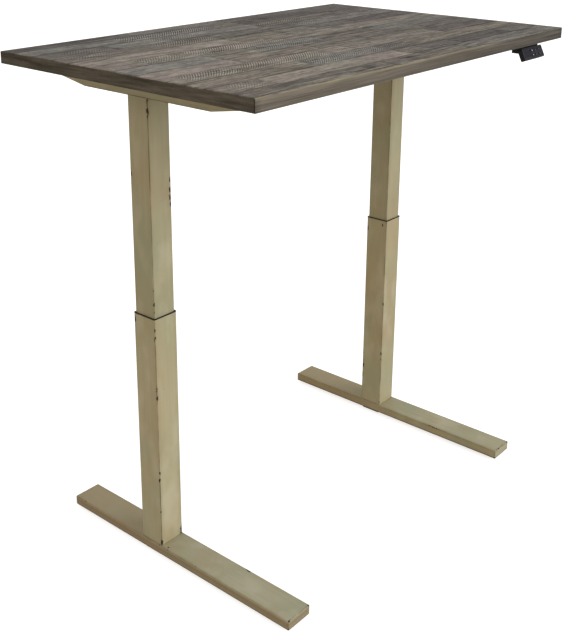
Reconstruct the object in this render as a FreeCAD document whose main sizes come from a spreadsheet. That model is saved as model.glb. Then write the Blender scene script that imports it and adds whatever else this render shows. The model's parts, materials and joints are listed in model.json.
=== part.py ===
# Electric standing desk: plank top, two telescopic legs on bar feet, spindle drives and a handset.
# Millimetres. +X is the user's right, +Y the back, +Z up; the origin is on the floor under the
# middle of the top. The desk is drawn at its highest position.
import FreeCAD, Part
import math
import os
import re

import Sketcher

V = FreeCAD.Vector
Constraint = Sketcher.Constraint

# Every size that can be set by itself
SIZES = {
    # Desktop
    "top_length": 1219,
    "top_depth": 762,
    "top_thick": 28,
    "top_edge_break": 1.2,
    "desk_height": 1225,
    # Telescopic columns
    "leg_inset": 147.5,
    "column_back": 62,
    "outer_width": 70,
    "outer_wall": 1.8,
    "outer_length": 603,
    "glide_room": 1.2,
    "inner_wall": 1.8,
    "column_corner": 4,
    "column_overlap": 80,
    "column_fit": 0.1,
    "slide_gap": 0.3,
    # Glides between the tubes
    "collar_rim": 2,
    "collar_proud": 0.6,
    "collar_skirt": 38,
    "glide_length": 38,
    "glide_lip": 3,
    "glide_fit": 0.05,
    # Head of the inner column
    "head_thick": 8,
    "bearing_width": 28,
    "bearing_shield": 1,
    "bearing_race": 3,
    # Side brackets
    "bracket_sheet": 3,
    "bracket_clearance": 0.2,
    "bracket_height": 48,
    "bracket_forward": 27,
    "bracket_trim": 148,
    "bracket_taper": 110,
    "bracket_end": 29,
    "bracket_bend": 4,
    # Crossbars
    "rail_spacing": 150,
    "rail_width": 30,
    "rail_height": 38,
    "rail_sheet": 2,
    "rail_bend": 2.5,
    "rail_end_plate": 3,
    # Machine bolts and their weld nuts
    "bolt_width": 6,
    "bolt_head": 11.6,
    "bolt_head_thick": 2.4,
    "bolt_fit": 0.2,
    "rail_bolt_edge": 8,
    "weld_nut_width": 12,
    "weld_nut_thick": 5,
    # Wood screws
    "screw_width": 4.5,
    "screw_head": 9,
    "screw_head_thick": 3,
    "screw_bite": 20,
    "screw_fit": 0.2,
    "screw_tip_gap": 1,
    "bracket_screw_pitch": 36,
    "bracket_screw_end": 37,
    "rail_screw_pitch": 250,
    # Gearbox and motor
    "gearbox_side": 1.5,
    "gearbox_step": 2.5,
    "gearbox_corner": 6,
    "gearbox_flange_thick": 4,
    "gearbox_screw": 5,
    "gearbox_screw_edge": 8,
    "gearbox_screw_depth": 14,
    "gearbox_screw_head": 9.4,
    "motor_over": 4,
    "motor_under": 3,
    "motor_length": 92,
    "motor_boss_edge": 0.5,
    "motor_boss_length": 6,
    "motor_step": 2,
    "motor_cap_length": 14,
    "motor_gland": 9,
    "motor_gland_length": 6,
    "motor_room": 5,
    # Spindle drive
    "spindle_width": 16,
    "spindle_shaft": 10,
    "spindle_reach": 20,
    "spindle_tip": 6,
    "running_fit": 0.1,
    "edge_chamfer": 2,
    "end_play": 0.3,
    "nut_flange": 38,
    "nut_flange_thick": 8,
    "nut_spigot": 24,
    "tube_width": 32,
    "tube_bore": 24,
    "tube_drop": 45,
    "tube_fit": 0.1,
    # Column base and clamp plate
    "base_thick": 8,
    "base_boss": 12,
    "base_bolt_pitch": 44,
    "clamp_width": 65,
    "clamp_depth": 61,
    "clamp_thick": 4,
    "clamp_corner": 4,
    # Feet
    "foot_lift": 7,
    "foot_length": 735,
    "foot_width": 75,
    "foot_height": 25,
    "foot_wall": 2,
    "foot_corner": 3,
    "foot_inset": 1,
    "cap_flange": 3.5,
    "cap_plug": 14,
    "cap_edge": 2.8,
    # Levelling feet
    "leveller_inset": 42,
    "leveller_pad": 36,
    "leveller_rim": 3,
    "leveller_edge": 1,
    "leveller_slope": 4,
    "leveller_stem": 8,
    "leveller_tip": 4,
    "insert_width": 12,
    "insert_length": 14,
    "insert_flange": 18,
    "insert_flange_thick": 1,
    # Control box
    "control_length": 240,
    "control_depth": 90,
    "control_height": 36,
    "control_wall": 2.2,
    "control_corner": 6,
    "control_ear": 16,
    "control_plate": 2,
    "board_thick": 1.6,
    "board_post": 8,
    "board_margin": 6,
    "inlet_width": 28,
    "inlet_height": 20,
    "inlet_depth": 18,
    "inlet_flange": 2,
    "inlet_lip": 3,
    "inlet_back": 3,
    "inlet_wall": 2,
    "inlet_pin": 4,
    "inlet_pin_pitch": 7,
    "socket_width": 14,
    "socket_height": 12,
    "socket_depth": 14,
    "socket_pitch": 24,
    "socket_wall": 1.5,
    "socket_fit": 0.2,
    # Handset
    "handset_end": 139.75,
    "handset_inset": 7.75,
    "handset_drop": 22.75,
    "handset_tilt": 25.5,
    "handset_width": 105.5,
    "handset_face": 31.4,
    "handset_thick": 12.6,
    "handset_corner": 3,
    "handset_rim": 2.25,
    "handset_ledge": 1.8,
    "handset_recess": 0.4,
    "handset_cavity": 6.8,
    "handset_block": 86,
    "handset_block_aside": 9.5,
    "handset_block_drop": 25,
    "handset_block_back": 22,
    "handset_block_gap": 21,
    "handset_block_root": 8,
    "handset_screw_pitch": 60,
    "handset_screw_back": 31,
    "handset_screw_floor": 5,
    "faceplate_thick": 2,
    "faceplate_fit": 0.2,
    "display_width": 32,
    "display_height": 16,
    "display_left": 29.75,
    "display_recess": 0.7,
    "button_width": 12,
    "button_height": 7.4,
    "button_corner": 1.6,
    "button_fit": 0.25,
    "button_proud": 1,
    "button_flange": 0.8,
    "button_flange_thick": 1,
    "button_left": 2.75,
    "button_pitch": 18,
    "button_row": 12.2,
    "dome_width": 5,
    "dome_height": 0.5,
}

# Levels and places that follow from the sizes
FOOT_TOP = "(foot_lift + foot_height)"
BASE_TOP = f"({FOOT_TOP} + base_thick)"
COLUMN_MOUTH = f"({FOOT_TOP} + outer_length)"
OUTER_CLEAR = "(outer_width - 2 * outer_wall)"
INNER_WIDTH = f"({OUTER_CLEAR} - 2 * glide_room)"
INNER_CLEAR = f"({INNER_WIDTH} - 2 * inner_wall)"
INNER_LOW = f"({COLUMN_MOUTH} - column_overlap)"
TUBE_TOP = f"({COLUMN_MOUTH} - tube_drop)"
UNDERSIDE = "(desk_height - top_thick)"
HEAD_LOW = f"({UNDERSIDE} - bracket_height)"
HEAD_TOP = f"({HEAD_LOW} + head_thick)"
WEB_LOW = f"({UNDERSIDE} - bracket_sheet)"
LEG_SPACING = "(top_length - 2 * leg_inset)"
BRACKET_WIDTH = f"({INNER_WIDTH} + 2 * bracket_sheet + 2 * bracket_clearance)"
BRACKET_LENGTH = "(top_depth - bracket_trim)"
BRACKET_FLAT = f"({BRACKET_LENGTH} - 2 * bracket_taper)"
BRACKET_MID = "(column_back - bracket_forward)"
RAIL_LENGTH = f"({LEG_SPACING} - {BRACKET_WIDTH})"
RAIL_BOLTS = ["-rail_sheet - rail_bolt_edge", "rail_bolt_edge - rail_height"]
GEARBOX_HEIGHT = f"({WEB_LOW} - {HEAD_TOP})"
GEARBOX_FLANGE = f"({INNER_WIDTH} - 2 * gearbox_side)"
GEARBOX_WIDTH = f"({GEARBOX_FLANGE} - 2 * gearbox_step)"
GEARBOX_SCREW = f"({GEARBOX_WIDTH} / 2 - gearbox_screw_edge)"
MOTOR_WIDTH = "(bracket_height - motor_over - motor_under)"
MOTOR_DROP = f"(motor_over + {MOTOR_WIDTH} / 2)"
MOTOR_BOSS = f"(2 * (bracket_height - head_thick - {MOTOR_DROP} - motor_boss_edge))"
MOTOR_CAP = f"({MOTOR_WIDTH} - 2 * motor_step)"
FOOT_MID = "(foot_length / 2 + foot_inset - top_depth / 2)"
LEVELLER_Y = "(foot_length / 2 - leveller_inset)"
LEVELLER_TOP = f"({FOOT_TOP} - foot_wall - leveller_tip)"
CAVITY_FLOOR = "(-handset_cavity)"
BOARD_FACE = "(board_thick - handset_cavity)"
PLATE_FACE = "(-handset_recess)"
PLATE_BACK = "(-handset_recess - faceplate_thick)"
FACE_X = "(top_length / 2 - handset_end)"
FACE_Y = "(handset_inset - top_depth / 2)"
FACE_Z = f"({UNDERSIDE} - handset_drop)"

# How close two places are counted as one when edges are picked out
NEAR = 1e-3

doc = FreeCAD.newDocument("standing_desk")
sheet = doc.addObject("Spreadsheet::Sheet", "sizes")
for row, (alias, value) in enumerate(SIZES.items(), 1):
    sheet.set(f"A{row}", alias)
    sheet.set(f"B{row}", str(value))
    sheet.setAlias(f"B{row}", alias)
doc.recompute()

nodes = []


def cells(text):
    """Point each size named in an expression at its cell in the sheet."""
    return re.sub(r"[a-z]+(?:_[a-z]+)+", lambda word: f"sizes.{word.group()}", str(text))


def amount(text):
    """The present value of an expression, as a plain number."""
    value = sheet.evalExpression(cells(text))
    return float(getattr(value, "Value", value))


def new_body(name, x="0", y="0", z="0"):
    """A named piece, placed by three expressions."""
    body = doc.addObject("PartDesign::Body", name)
    body.Label = name
    for axis, text in zip("xyz", (x, y, z)):
        body.setExpression(f"Placement.Base.{axis}", cells(text))
    nodes.append(body)
    return body


def turn(body, axis, angle):
    """Turn a placed piece about an axis through its own origin."""
    body.Placement = FreeCAD.Placement(body.Placement.Base, FreeCAD.Rotation(axis, amount(angle)))
    body.setExpression("Placement.Rotation.Angle", cells(f"({angle}) * 1 deg"))


def new_sketch(body, plane="XY", offset="0"):
    """A sketch on one of the piece's own planes, moved along that plane's normal."""
    sketch = body.newObject("Sketcher::SketchObject", "sketch")
    origin = [part for part in body.Origin.OriginFeatures if part.Role == f"{plane}_Plane"][0]
    sketch.AttachmentSupport = (origin, [""])
    sketch.MapMode = "FlatFace"
    sketch.setExpression("AttachmentOffset.Base.z", cells(offset))
    return sketch


def measure(sketch, kind, value, *points):
    """Add one dimension to a sketch and bind it to an expression."""
    index = sketch.addConstraint(Constraint(kind, *points, amount(value)))
    sketch.setExpression(f"Constraints[{index}]", cells(value))


def outline(sketch, corners):
    """A closed outline of straight runs through corners given as pairs of expressions."""
    first = sketch.GeometryCount
    count = len(corners)
    points = [V(amount(x), amount(y), 0) for x, y in corners]
    lines = [Part.LineSegment(points[i], points[(i + 1) % count]) for i in range(count)]
    sketch.addGeometry(lines, False)
    for i, (x, y) in enumerate(corners):
        sketch.addConstraint(Constraint("Coincident", first + i, 2, first + (i + 1) % count, 1))
        measure(sketch, "DistanceX", x, -1, 1, first + i, 1)
        measure(sketch, "DistanceY", y, -1, 1, first + i, 1)


def rectangle(sketch, width, depth, x="0", y="0"):
    """A rectangle about a centre."""
    left, right = f"{x} - ({width}) / 2", f"{x} + ({width}) / 2"
    low, high = f"{y} - ({depth}) / 2", f"{y} + ({depth}) / 2"
    outline(sketch, [(left, low), (right, low), (right, high), (left, high)])


def rounded(sketch, width, depth, radius, x="0", y="0"):
    """A rectangle about a centre, with round corners."""
    first = sketch.GeometryCount
    half_w, half_d, r = amount(width) / 2, amount(depth) / 2, amount(radius)
    middle = V(amount(x), amount(y), 0)

    def line(x0, y0, x1, y1):
        return Part.LineSegment(middle + V(x0, y0, 0), middle + V(x1, y1, 0))

    def arc(cx, cy, quarter):
        circle = Part.Circle(middle + V(cx, cy, 0), V(0, 0, 1), r)
        return Part.ArcOfCircle(circle, quarter * math.pi / 2, (quarter + 1) * math.pi / 2)

    a, b = half_w - r, half_d - r
    sketch.addGeometry([
        line(-a, -half_d, a, -half_d), arc(a, -b, -1),
        line(half_w, -b, half_w, b), arc(a, b, 0),
        line(a, half_d, -a, half_d), arc(-a, b, 1),
        line(-half_w, b, -half_w, -b), arc(-a, -b, 2),
    ], False)
    for i in range(8):
        sketch.addConstraint(Constraint("Tangent", first + i, 2, first + (i + 1) % 8, 1))
    for i in (0, 4):
        sketch.addConstraint(Constraint("Horizontal", first + i))
        sketch.addConstraint(Constraint("Vertical", first + i + 2))
    for i in (3, 5, 7):
        sketch.addConstraint(Constraint("Equal", first + 1, first + i))
    measure(sketch, "DistanceX", f"{x} - ({width}) / 2", -1, 1, first + 6, 1)
    measure(sketch, "DistanceX", f"{x} + ({width}) / 2", -1, 1, first + 2, 1)
    measure(sketch, "DistanceY", f"{y} - ({depth}) / 2", -1, 1, first, 1)
    measure(sketch, "DistanceY", f"{y} + ({depth}) / 2", -1, 1, first + 4, 1)
    measure(sketch, "Radius", radius, first + 1)


def circles(sketch, width, centres):
    """One circle of the same width about each centre."""
    for x, y in centres:
        sketch.addGeometry(Part.Circle(V(amount(x), amount(y), 0), V(0, 0, 1), amount(width) / 2), False)
        index = sketch.GeometryCount - 1
        measure(sketch, "Diameter", width, index)
        measure(sketch, "DistanceX", x, -1, 1, index, 3)
        measure(sketch, "DistanceY", y, -1, 1, index, 3)


def pad(body, sketch, length, back=False, middle=False):
    """Raise a sketch into material, forwards, backwards or half each way."""
    feature = body.newObject("PartDesign::Pad", "pad")
    feature.Profile = sketch
    feature.setExpression("Length", cells(length))
    feature.Reversed = back
    if middle:
        feature.SideType = "Symmetric"
    doc.recompute()
    return feature


def cut(body, sketch, length=None, forward=False, middle=False):
    """Cut a sketch out of the piece, to a depth or right through, and make sure it cut something."""
    before = body.Shape.Volume
    feature = body.newObject("PartDesign::Pocket", "cut")
    feature.Profile = sketch
    feature.Reversed = forward
    if middle:
        feature.SideType = "Symmetric"
    if length is None:
        feature.Type = "ThroughAll"
    else:
        feature.setExpression("Length", cells(length))
    doc.recompute()
    if not body.Shape.Volume < before:
        raise RuntimeError(f"a cut in {body.Label} removed nothing")
    return feature


def spin(body, corners, axis="V_Axis"):
    """Turn a half profile about the upright or the level axis of the XZ plane."""
    sketch = new_sketch(body, "XZ")
    outline(sketch, corners)
    feature = body.newObject("PartDesign::Revolution", "turned")
    feature.Profile = sketch
    feature.ReferenceAxis = (sketch, [axis])
    feature.Angle = 360
    doc.recompute()
    return feature


def round_edges(body, base, radius, chosen):
    """Fillet the edges that a test picks out."""
    edges = [f"Edge{i}" for i, edge in enumerate(base.Shape.Edges, 1) if chosen(edge)]
    feature = body.newObject("PartDesign::Fillet", "round")
    feature.Base = (base, edges)
    feature.setExpression("Radius", cells(radius))
    doc.recompute()
    return feature


def grid(xs, ys):
    """Every pairing of two lists of expressions."""
    return [(x, y) for x in xs for y in ys]


def either_side(middle, half):
    """Two places, half a pitch each side of a middle."""
    return [f"{middle} - {half}", f"{middle} + {half}"]


def tube(body, width, depth, wall, corner, length, plane="XY", offset="0", middle=False):
    """A rounded rectangular tube."""
    sketch = new_sketch(body, plane, offset)
    rounded(sketch, width, depth, corner)
    rounded(sketch, f"({width} - 2 * {wall})", f"({depth} - 2 * {wall})", f"({corner} - {wall})")
    return pad(body, sketch, length, middle=middle)


def column_x(inward):
    """The column's place along the desk: inward is 1 on the left leg and -1 on the right."""
    return f"({-inward} * {LEG_SPACING} / 2)"


# Places of the wood screws that hold each thing to the top, with the thickness under each head
RAIL_Y = either_side("column_back", "rail_spacing / 2")
BRACKET_SCREW_ROW = f"({BRACKET_LENGTH} / 3 - 2 * bracket_screw_end / 3)"
BRACKET_SCREW_Y = [f"{BRACKET_MID} + {step} * {BRACKET_SCREW_ROW}" for step in (-1.5, -0.5, 0.5, 1.5)]
SCREWS = [
    (grid(either_side(column_x(inward), "bracket_screw_pitch / 2"), BRACKET_SCREW_Y), "bracket_sheet")
    for inward in (1, -1)
]
SCREWS.append((grid([f"{step} * rail_screw_pitch" for step in (-1, 0, 1)], RAIL_Y), "rail_sheet"))
CONTROL_SCREW_X = either_side("0", "(control_length / 2 + control_ear / 2)")
CONTROL_SCREW_Y = either_side("column_back", "control_depth / 4")
SCREWS.append((grid(CONTROL_SCREW_X, CONTROL_SCREW_Y), "control_plate"))
HANDSET_SCREW_X = either_side(f"{FACE_X} + handset_block_aside", "handset_screw_pitch / 2")
HANDSET_SCREW_Y = [f"({FACE_Y} + handset_screw_back)"]
SCREWS.append((grid(HANDSET_SCREW_X, HANDSET_SCREW_Y), "handset_screw_floor"))


def desktop():
    """The plank top, with softened edges and pilot holes in its underside."""
    body = new_body("desktop", z=UNDERSIDE)
    sketch = new_sketch(body)
    rectangle(sketch, "top_length", "top_depth")
    slab = pad(body, sketch, "top_thick")
    round_edges(body, slab, "top_edge_break", lambda edge: True)
    pilots = new_sketch(body)
    for centres, grip in SCREWS:
        circles(pilots, "screw_width + 2 * screw_fit", centres)
    cut(body, pilots, "screw_bite + screw_tip_gap", forward=True)


def desktop_screws():
    """Pan-head wood screws, driven up into the top."""
    body = new_body("desktop_screws", z=UNDERSIDE)
    for centres, grip in SCREWS:
        shanks = new_sketch(body, offset=f"-{grip}")
        circles(shanks, "screw_width", centres)
        pad(body, shanks, f"{grip} + screw_bite")
        heads = new_sketch(body, offset=f"-{grip}")
        circles(heads, "screw_head", centres)
        pad(body, heads, "screw_head_thick", back=True)


def bracket(side, inward):
    """A folded channel under the top: tapered ends, a notch for the motor, weld nuts for the rails."""
    body = new_body(f"{side}_bracket", x=column_x(inward), z=UNDERSIDE)
    back, front = either_side(BRACKET_MID, f"{BRACKET_LENGTH} / 2")[::-1]
    flat_back, flat_front = either_side(BRACKET_MID, f"{BRACKET_FLAT} / 2")[::-1]
    profile = new_sketch(body, "YZ")
    outline(profile, [
        (front, "0"), (front, "-bracket_end"), (flat_front, "-bracket_height"),
        (flat_back, "-bracket_height"), (back, "-bracket_end"), (back, "0"),
    ])
    blank = pad(body, profile, BRACKET_WIDTH, middle=True)
    width = amount(BRACKET_WIDTH)
    round_edges(body, blank, "bracket_bend", lambda edge: edge.BoundBox.ZMin > -NEAR
                and edge.BoundBox.XLength < NEAR and abs(edge.BoundBox.XMin) > width / 3)
    channel = new_sketch(body, "XZ")
    clear = f"({BRACKET_WIDTH} - 2 * bracket_sheet)"
    outline(channel, [
        (f"-{clear} / 2", "-2 * bracket_height"), (f"{clear} / 2", "-2 * bracket_height"),
        (f"{clear} / 2", "-bracket_sheet"), (f"-{clear} / 2", "-bracket_sheet"),
    ])
    cut(body, channel, middle=True)
    wall_x = f"{inward} * ({BRACKET_WIDTH} / 2 - bracket_sheet)"
    bolts = grid(RAIL_Y, RAIL_BOLTS)
    nuts = new_sketch(body, "YZ", wall_x)
    circles(nuts, "weld_nut_width", bolts)
    pad(body, nuts, "weld_nut_thick", back=inward > 0)
    face_x = f"{inward} * {BRACKET_WIDTH} / 2"
    holes = new_sketch(body, "YZ", face_x)
    circles(holes, "bolt_width + 2 * bolt_fit", bolts)
    cut(body, holes, "bracket_sheet + weld_nut_thick", forward=inward < 0)
    notch = new_sketch(body, "YZ", face_x)
    room = f"{MOTOR_WIDTH} + 2 * motor_room"
    rectangle(notch, room, "2 * (bracket_height - bracket_sheet)", "column_back",
              "(-bracket_height)")
    cut(body, notch, "bracket_sheet", forward=inward < 0)
    screws = new_sketch(body)
    circles(screws, "screw_width + 2 * screw_fit",
            grid(either_side("0", "bracket_screw_pitch / 2"), BRACKET_SCREW_Y))
    cut(body, screws, "bracket_sheet")
    places = grid(either_side("0", GEARBOX_SCREW), either_side("column_back", GEARBOX_SCREW))
    shanks = new_sketch(body)
    circles(shanks, "gearbox_screw + 2 * bolt_fit", places)
    cut(body, shanks, "bracket_sheet")
    heads = new_sketch(body)
    circles(heads, "gearbox_screw_head + 2 * bolt_fit", places)
    cut(body, heads, "bracket_sheet / 2")


def gearbox_screws():
    """Low-headed screws through each bracket's web into its gearbox."""
    body = new_body("gearbox_screws", y="column_back", z=UNDERSIDE)
    for inward in (1, -1):
        places = grid(either_side(column_x(inward), GEARBOX_SCREW), either_side("0", GEARBOX_SCREW))
        heads = new_sketch(body, offset="-bracket_sheet / 2")
        circles(heads, "gearbox_screw_head", places)
        pad(body, heads, "bracket_sheet / 2 - bolt_fit")
        shanks = new_sketch(body, offset="-bracket_sheet / 2")
        circles(shanks, "gearbox_screw", places)
        pad(body, shanks, "bracket_sheet / 2 + gearbox_screw_depth - screw_tip_gap", back=True)


def crossbar(name, rail_y):
    """A folded rail, open below, with an end plate welded in at each end."""
    body = new_body(name, y=rail_y, z=UNDERSIDE)
    profile = new_sketch(body, "YZ")
    rectangle(profile, "rail_width", "rail_height", y="-rail_height / 2")
    blank = pad(body, profile, RAIL_LENGTH, middle=True)
    round_edges(body, blank, "rail_bend", lambda edge: edge.BoundBox.ZMin > -NEAR
                and edge.BoundBox.YLength < NEAR)
    inside = new_sketch(body, "YZ")
    rectangle(inside, "rail_width - 2 * rail_sheet", "rail_height", y="(-rail_height / 2 - rail_sheet)")
    cut(body, inside, f"{RAIL_LENGTH} - 2 * rail_end_plate", middle=True)
    bolts = new_sketch(body, "YZ")
    circles(bolts, "bolt_width + 2 * bolt_fit", grid(["0"], RAIL_BOLTS))
    cut(body, bolts, middle=True)
    screws = new_sketch(body)
    circles(screws, "screw_width + 2 * screw_fit",
            [(f"{step} * rail_screw_pitch", "0") for step in (-1, 0, 1)])
    cut(body, screws, "rail_sheet")


def crossbar_bolts():
    """Bolts through the rails' end plates into the brackets' weld nuts."""
    body = new_body("crossbar_bolts", z=UNDERSIDE)
    bolts = grid(RAIL_Y, RAIL_BOLTS)
    for end in (-1, 1):
        seat = f"{end} * ({RAIL_LENGTH} / 2 - rail_end_plate)"
        shanks = new_sketch(body, "YZ", seat)
        circles(shanks, "bolt_width", bolts)
        pad(body, shanks, "rail_end_plate + bracket_sheet + weld_nut_thick", back=end < 0)
        heads = new_sketch(body, "YZ", seat)
        circles(heads, "bolt_head", bolts)
        pad(body, heads, "2 * bolt_head_thick", back=end > 0)


def inner_column(side, inward):
    """The upper tube, with a head plate welded in its top that carries the gearbox and bearing."""
    body = new_body(f"{side}_inner_column", x=column_x(inward), y="column_back", z=INNER_LOW)
    tube(body, INNER_WIDTH, INNER_WIDTH, "inner_wall", "column_corner", f"{HEAD_TOP} - {INNER_LOW}")
    head = new_sketch(body, offset=f"{HEAD_LOW} - {INNER_LOW}")
    rounded(head, INNER_CLEAR, INNER_CLEAR, "(column_corner - inner_wall)")
    circles(head, "bearing_width + 2 * running_fit", [("0", "0")])
    pad(body, head, "head_thick")


def lower_glide(side, inward):
    """A plastic sleeve round the foot of the inner tube, with a lip turned under its end."""
    body = new_body(f"{side}_lower_glide", x=column_x(inward), y="column_back",
                    z=f"{INNER_LOW} - glide_lip")
    outside = f"({OUTER_CLEAR} - 2 * slide_gap)"
    corner = "(column_corner - outer_wall)"
    sleeve = new_sketch(body)
    rounded(sleeve, outside, outside, corner)
    around = f"({INNER_WIDTH} + 2 * glide_fit)"
    rounded(sleeve, around, around, "(column_corner + glide_fit)")
    pad(body, sleeve, "glide_length + glide_lip")
    lip = new_sketch(body)
    rounded(lip, outside, outside, corner)
    rounded(lip, INNER_CLEAR, INNER_CLEAR, "(column_corner - inner_wall)")
    pad(body, lip, "glide_lip")


def gearbox(side, inward):
    """A cast worm gearbox: split flange, motor boss, spindle bore and tapped top corners."""
    body = new_body(f"{side}_gearbox", x=column_x(inward), y="column_back", z=HEAD_TOP)
    block = new_sketch(body)
    rounded(block, GEARBOX_WIDTH, GEARBOX_WIDTH, "gearbox_corner")
    pad(body, block, GEARBOX_HEIGHT)
    flange = new_sketch(body, offset=f"{GEARBOX_HEIGHT} / 2 - gearbox_flange_thick / 2")
    rounded(flange, GEARBOX_FLANGE, GEARBOX_FLANGE, "gearbox_corner")
    pad(body, flange, "gearbox_flange_thick")
    boss = new_sketch(body, "YZ", f"{inward} * {GEARBOX_WIDTH} / 4")
    circles(boss, MOTOR_BOSS, [("0", f"({UNDERSIDE} - {MOTOR_DROP} - {HEAD_TOP})")])
    pad(body, boss, f"{GEARBOX_WIDTH} / 4 + motor_boss_length", back=inward < 0)
    bore = new_sketch(body)
    circles(bore, "spindle_shaft + 2 * running_fit", [("0", "0")])
    cut(body, bore, "spindle_reach + end_play", forward=True)
    taps = new_sketch(body, offset=GEARBOX_HEIGHT)
    circles(taps, "gearbox_screw + 2 * bolt_fit",
            grid(either_side("0", GEARBOX_SCREW), either_side("0", GEARBOX_SCREW)))
    cut(body, taps, "gearbox_screw_depth")


def motor(side, inward):
    """A round motor lying along the desk, with a stepped end cap and a cable gland."""
    body = new_body(f"{side}_motor", x=column_x(inward), y="column_back",
                    z=f"{UNDERSIDE} - {MOTOR_DROP}")
    start = f"({GEARBOX_WIDTH} / 2 + motor_boss_length)"
    can = f"({start} + motor_length)"
    cap = f"({can} + motor_cap_length)"
    profile = [
        (start, "0"), (start, f"{MOTOR_BOSS} / 2"), (f"{start} + edge_chamfer", f"{MOTOR_WIDTH} / 2"),
        (f"{can} - edge_chamfer", f"{MOTOR_WIDTH} / 2"), (can, f"{MOTOR_CAP} / 2"),
        (f"{cap} - edge_chamfer", f"{MOTOR_CAP} / 2"), (cap, f"{MOTOR_CAP} / 2 - edge_chamfer"),
        (cap, "0"),
    ]
    spin(body, [(f"{inward} * ({x})", r) for x, r in profile], "H_Axis")
    gland = new_sketch(body, "YZ", f"{inward} * {cap}")
    circles(gland, "motor_gland", [("0", f"{MOTOR_CAP} / 4")])
    pad(body, gland, "motor_gland_length", back=inward < 0)


def spindle_bearing(side, inward):
    """A ball bearing in the head plate, with its shields set in."""
    body = new_body(f"{side}_spindle_bearing", x=column_x(inward), y="column_back", z=HEAD_LOW)
    bore, rim = "(spindle_shaft / 2 + running_fit)", "bearing_width / 2"
    inner_race, outer_race = "spindle_shaft / 2 + bearing_race", "bearing_width / 2 - bearing_race"
    spin(body, [
        (bore, "0"), (inner_race, "0"), (inner_race, "bearing_shield"),
        (outer_race, "bearing_shield"), (outer_race, "0"), (rim, "0"),
        (rim, "head_thick"), (bore, "head_thick"),
    ])


def spindle(side, inward):
    """The lift screw: a plain rod at its thread's outer width, necked into the bearing and gearbox."""
    low = f"({TUBE_TOP} - nut_spigot - spindle_tip)"
    body = new_body(f"{side}_spindle", x=column_x(inward), y="column_back", z=low)
    shoulder = f"({HEAD_LOW} - end_play - {low})"
    top = f"({HEAD_TOP} + spindle_reach - {low})"
    spin(body, [
        ("0", "0"), ("spindle_width / 2 - edge_chamfer", "0"), ("spindle_width / 2", "edge_chamfer"),
        ("spindle_width / 2", shoulder), ("spindle_shaft / 2", shoulder),
        ("spindle_shaft / 2", f"{top} - edge_chamfer"), ("spindle_shaft / 2 - edge_chamfer", top),
        ("0", top),
    ])


def spindle_nut(side, inward):
    """The nut on top of the drive tube: a flange on its rim and a spigot in its bore."""
    body = new_body(f"{side}_spindle_nut", x=column_x(inward), y="column_back", z=TUBE_TOP)
    bore, spigot = "(spindle_width / 2 + running_fit)", "(tube_bore / 2 - tube_fit)"
    spin(body, [
        (bore, "-nut_spigot"), (spigot, "-nut_spigot"), (spigot, "0"), ("nut_flange / 2", "0"),
        ("nut_flange / 2", "nut_flange_thick - edge_chamfer"),
        ("nut_flange / 2 - edge_chamfer", "nut_flange_thick"),
        (bore, "nut_flange_thick"),
    ])


def drive_tube(side, inward):
    """The fixed tube that holds the nut up inside the column."""
    body = new_body(f"{side}_drive_tube", x=column_x(inward), y="column_back", z=BASE_TOP)
    ring = new_sketch(body)
    circles(ring, "tube_width", [("0", "0")])
    circles(ring, "tube_bore", [("0", "0")])
    pad(body, ring, f"{TUBE_TOP} - {BASE_TOP}")


def outer_column(side, inward):
    """The lower tube, standing on the foot."""
    body = new_body(f"{side}_outer_column", x=column_x(inward), y="column_back", z=FOOT_TOP)
    tube(body, "outer_width", "outer_width", "outer_wall", "column_corner", "outer_length")


def collar(side, inward):
    """The black glide at the mouth of the outer tube: a rim on its end and a skirt inside it."""
    body = new_body(f"{side}_collar", x=column_x(inward), y="column_back", z=COLUMN_MOUTH)
    hole, hole_corner = f"({INNER_WIDTH} + 2 * slide_gap)", "(column_corner + slide_gap)"
    rim = new_sketch(body)
    rim_width = "(outer_width + 2 * collar_proud)"
    rounded(rim, rim_width, rim_width, "(column_corner + collar_proud)")
    rounded(rim, hole, hole, hole_corner)
    pad(body, rim, "collar_rim")
    skirt = new_sketch(body)
    skirt_width = f"({OUTER_CLEAR} - 2 * column_fit)"
    rounded(skirt, skirt_width, skirt_width, "(column_corner - outer_wall)")
    rounded(skirt, hole, hole, hole_corner)
    pad(body, skirt, "collar_skirt", back=True)


def column_base(side, inward):
    """The plate inside the foot of the outer tube, tapped for the bolts, with a boss for the drive tube."""
    body = new_body(f"{side}_column_base", x=column_x(inward), y="column_back", z=FOOT_TOP)
    plate = new_sketch(body)
    width = f"({OUTER_CLEAR} - 2 * column_fit)"
    rounded(plate, width, width, "(column_corner - outer_wall)")
    circles(plate, "bolt_width + 2 * bolt_fit", grid(either_side("0", "base_bolt_pitch / 2"),
                                                     either_side("0", "base_bolt_pitch / 2")))
    pad(body, plate, "base_thick")
    boss = new_sketch(body, offset="base_thick / 2")
    circles(boss, "tube_bore - 2 * tube_fit", [("0", "0")])
    pad(body, boss, "base_thick / 2 + base_boss")


def foot(side, inward):
    """The bar foot: a closed tube lying front to back, drilled for the bolts and threaded inserts."""
    body = new_body(f"{side}_foot", x=column_x(inward), y=FOOT_MID,
                    z="foot_lift + foot_height / 2")
    tube(body, "foot_width", "foot_height", "foot_wall", "foot_corner",
         "foot_length - 2 * cap_flange", plane="XZ", middle=True)
    bolts = new_sketch(body)
    circles(bolts, "bolt_width + 2 * bolt_fit",
            grid(either_side("0", "base_bolt_pitch / 2"),
                 either_side(f"column_back - {FOOT_MID}", "base_bolt_pitch / 2")))
    cut(body, bolts, middle=True)
    inserts = new_sketch(body, offset="-foot_height / 2")
    circles(inserts, "insert_width + 2 * bolt_fit", [("0", f"-{LEVELLER_Y}"), ("0", LEVELLER_Y)])
    cut(body, inserts, "foot_wall", forward=True)


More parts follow.
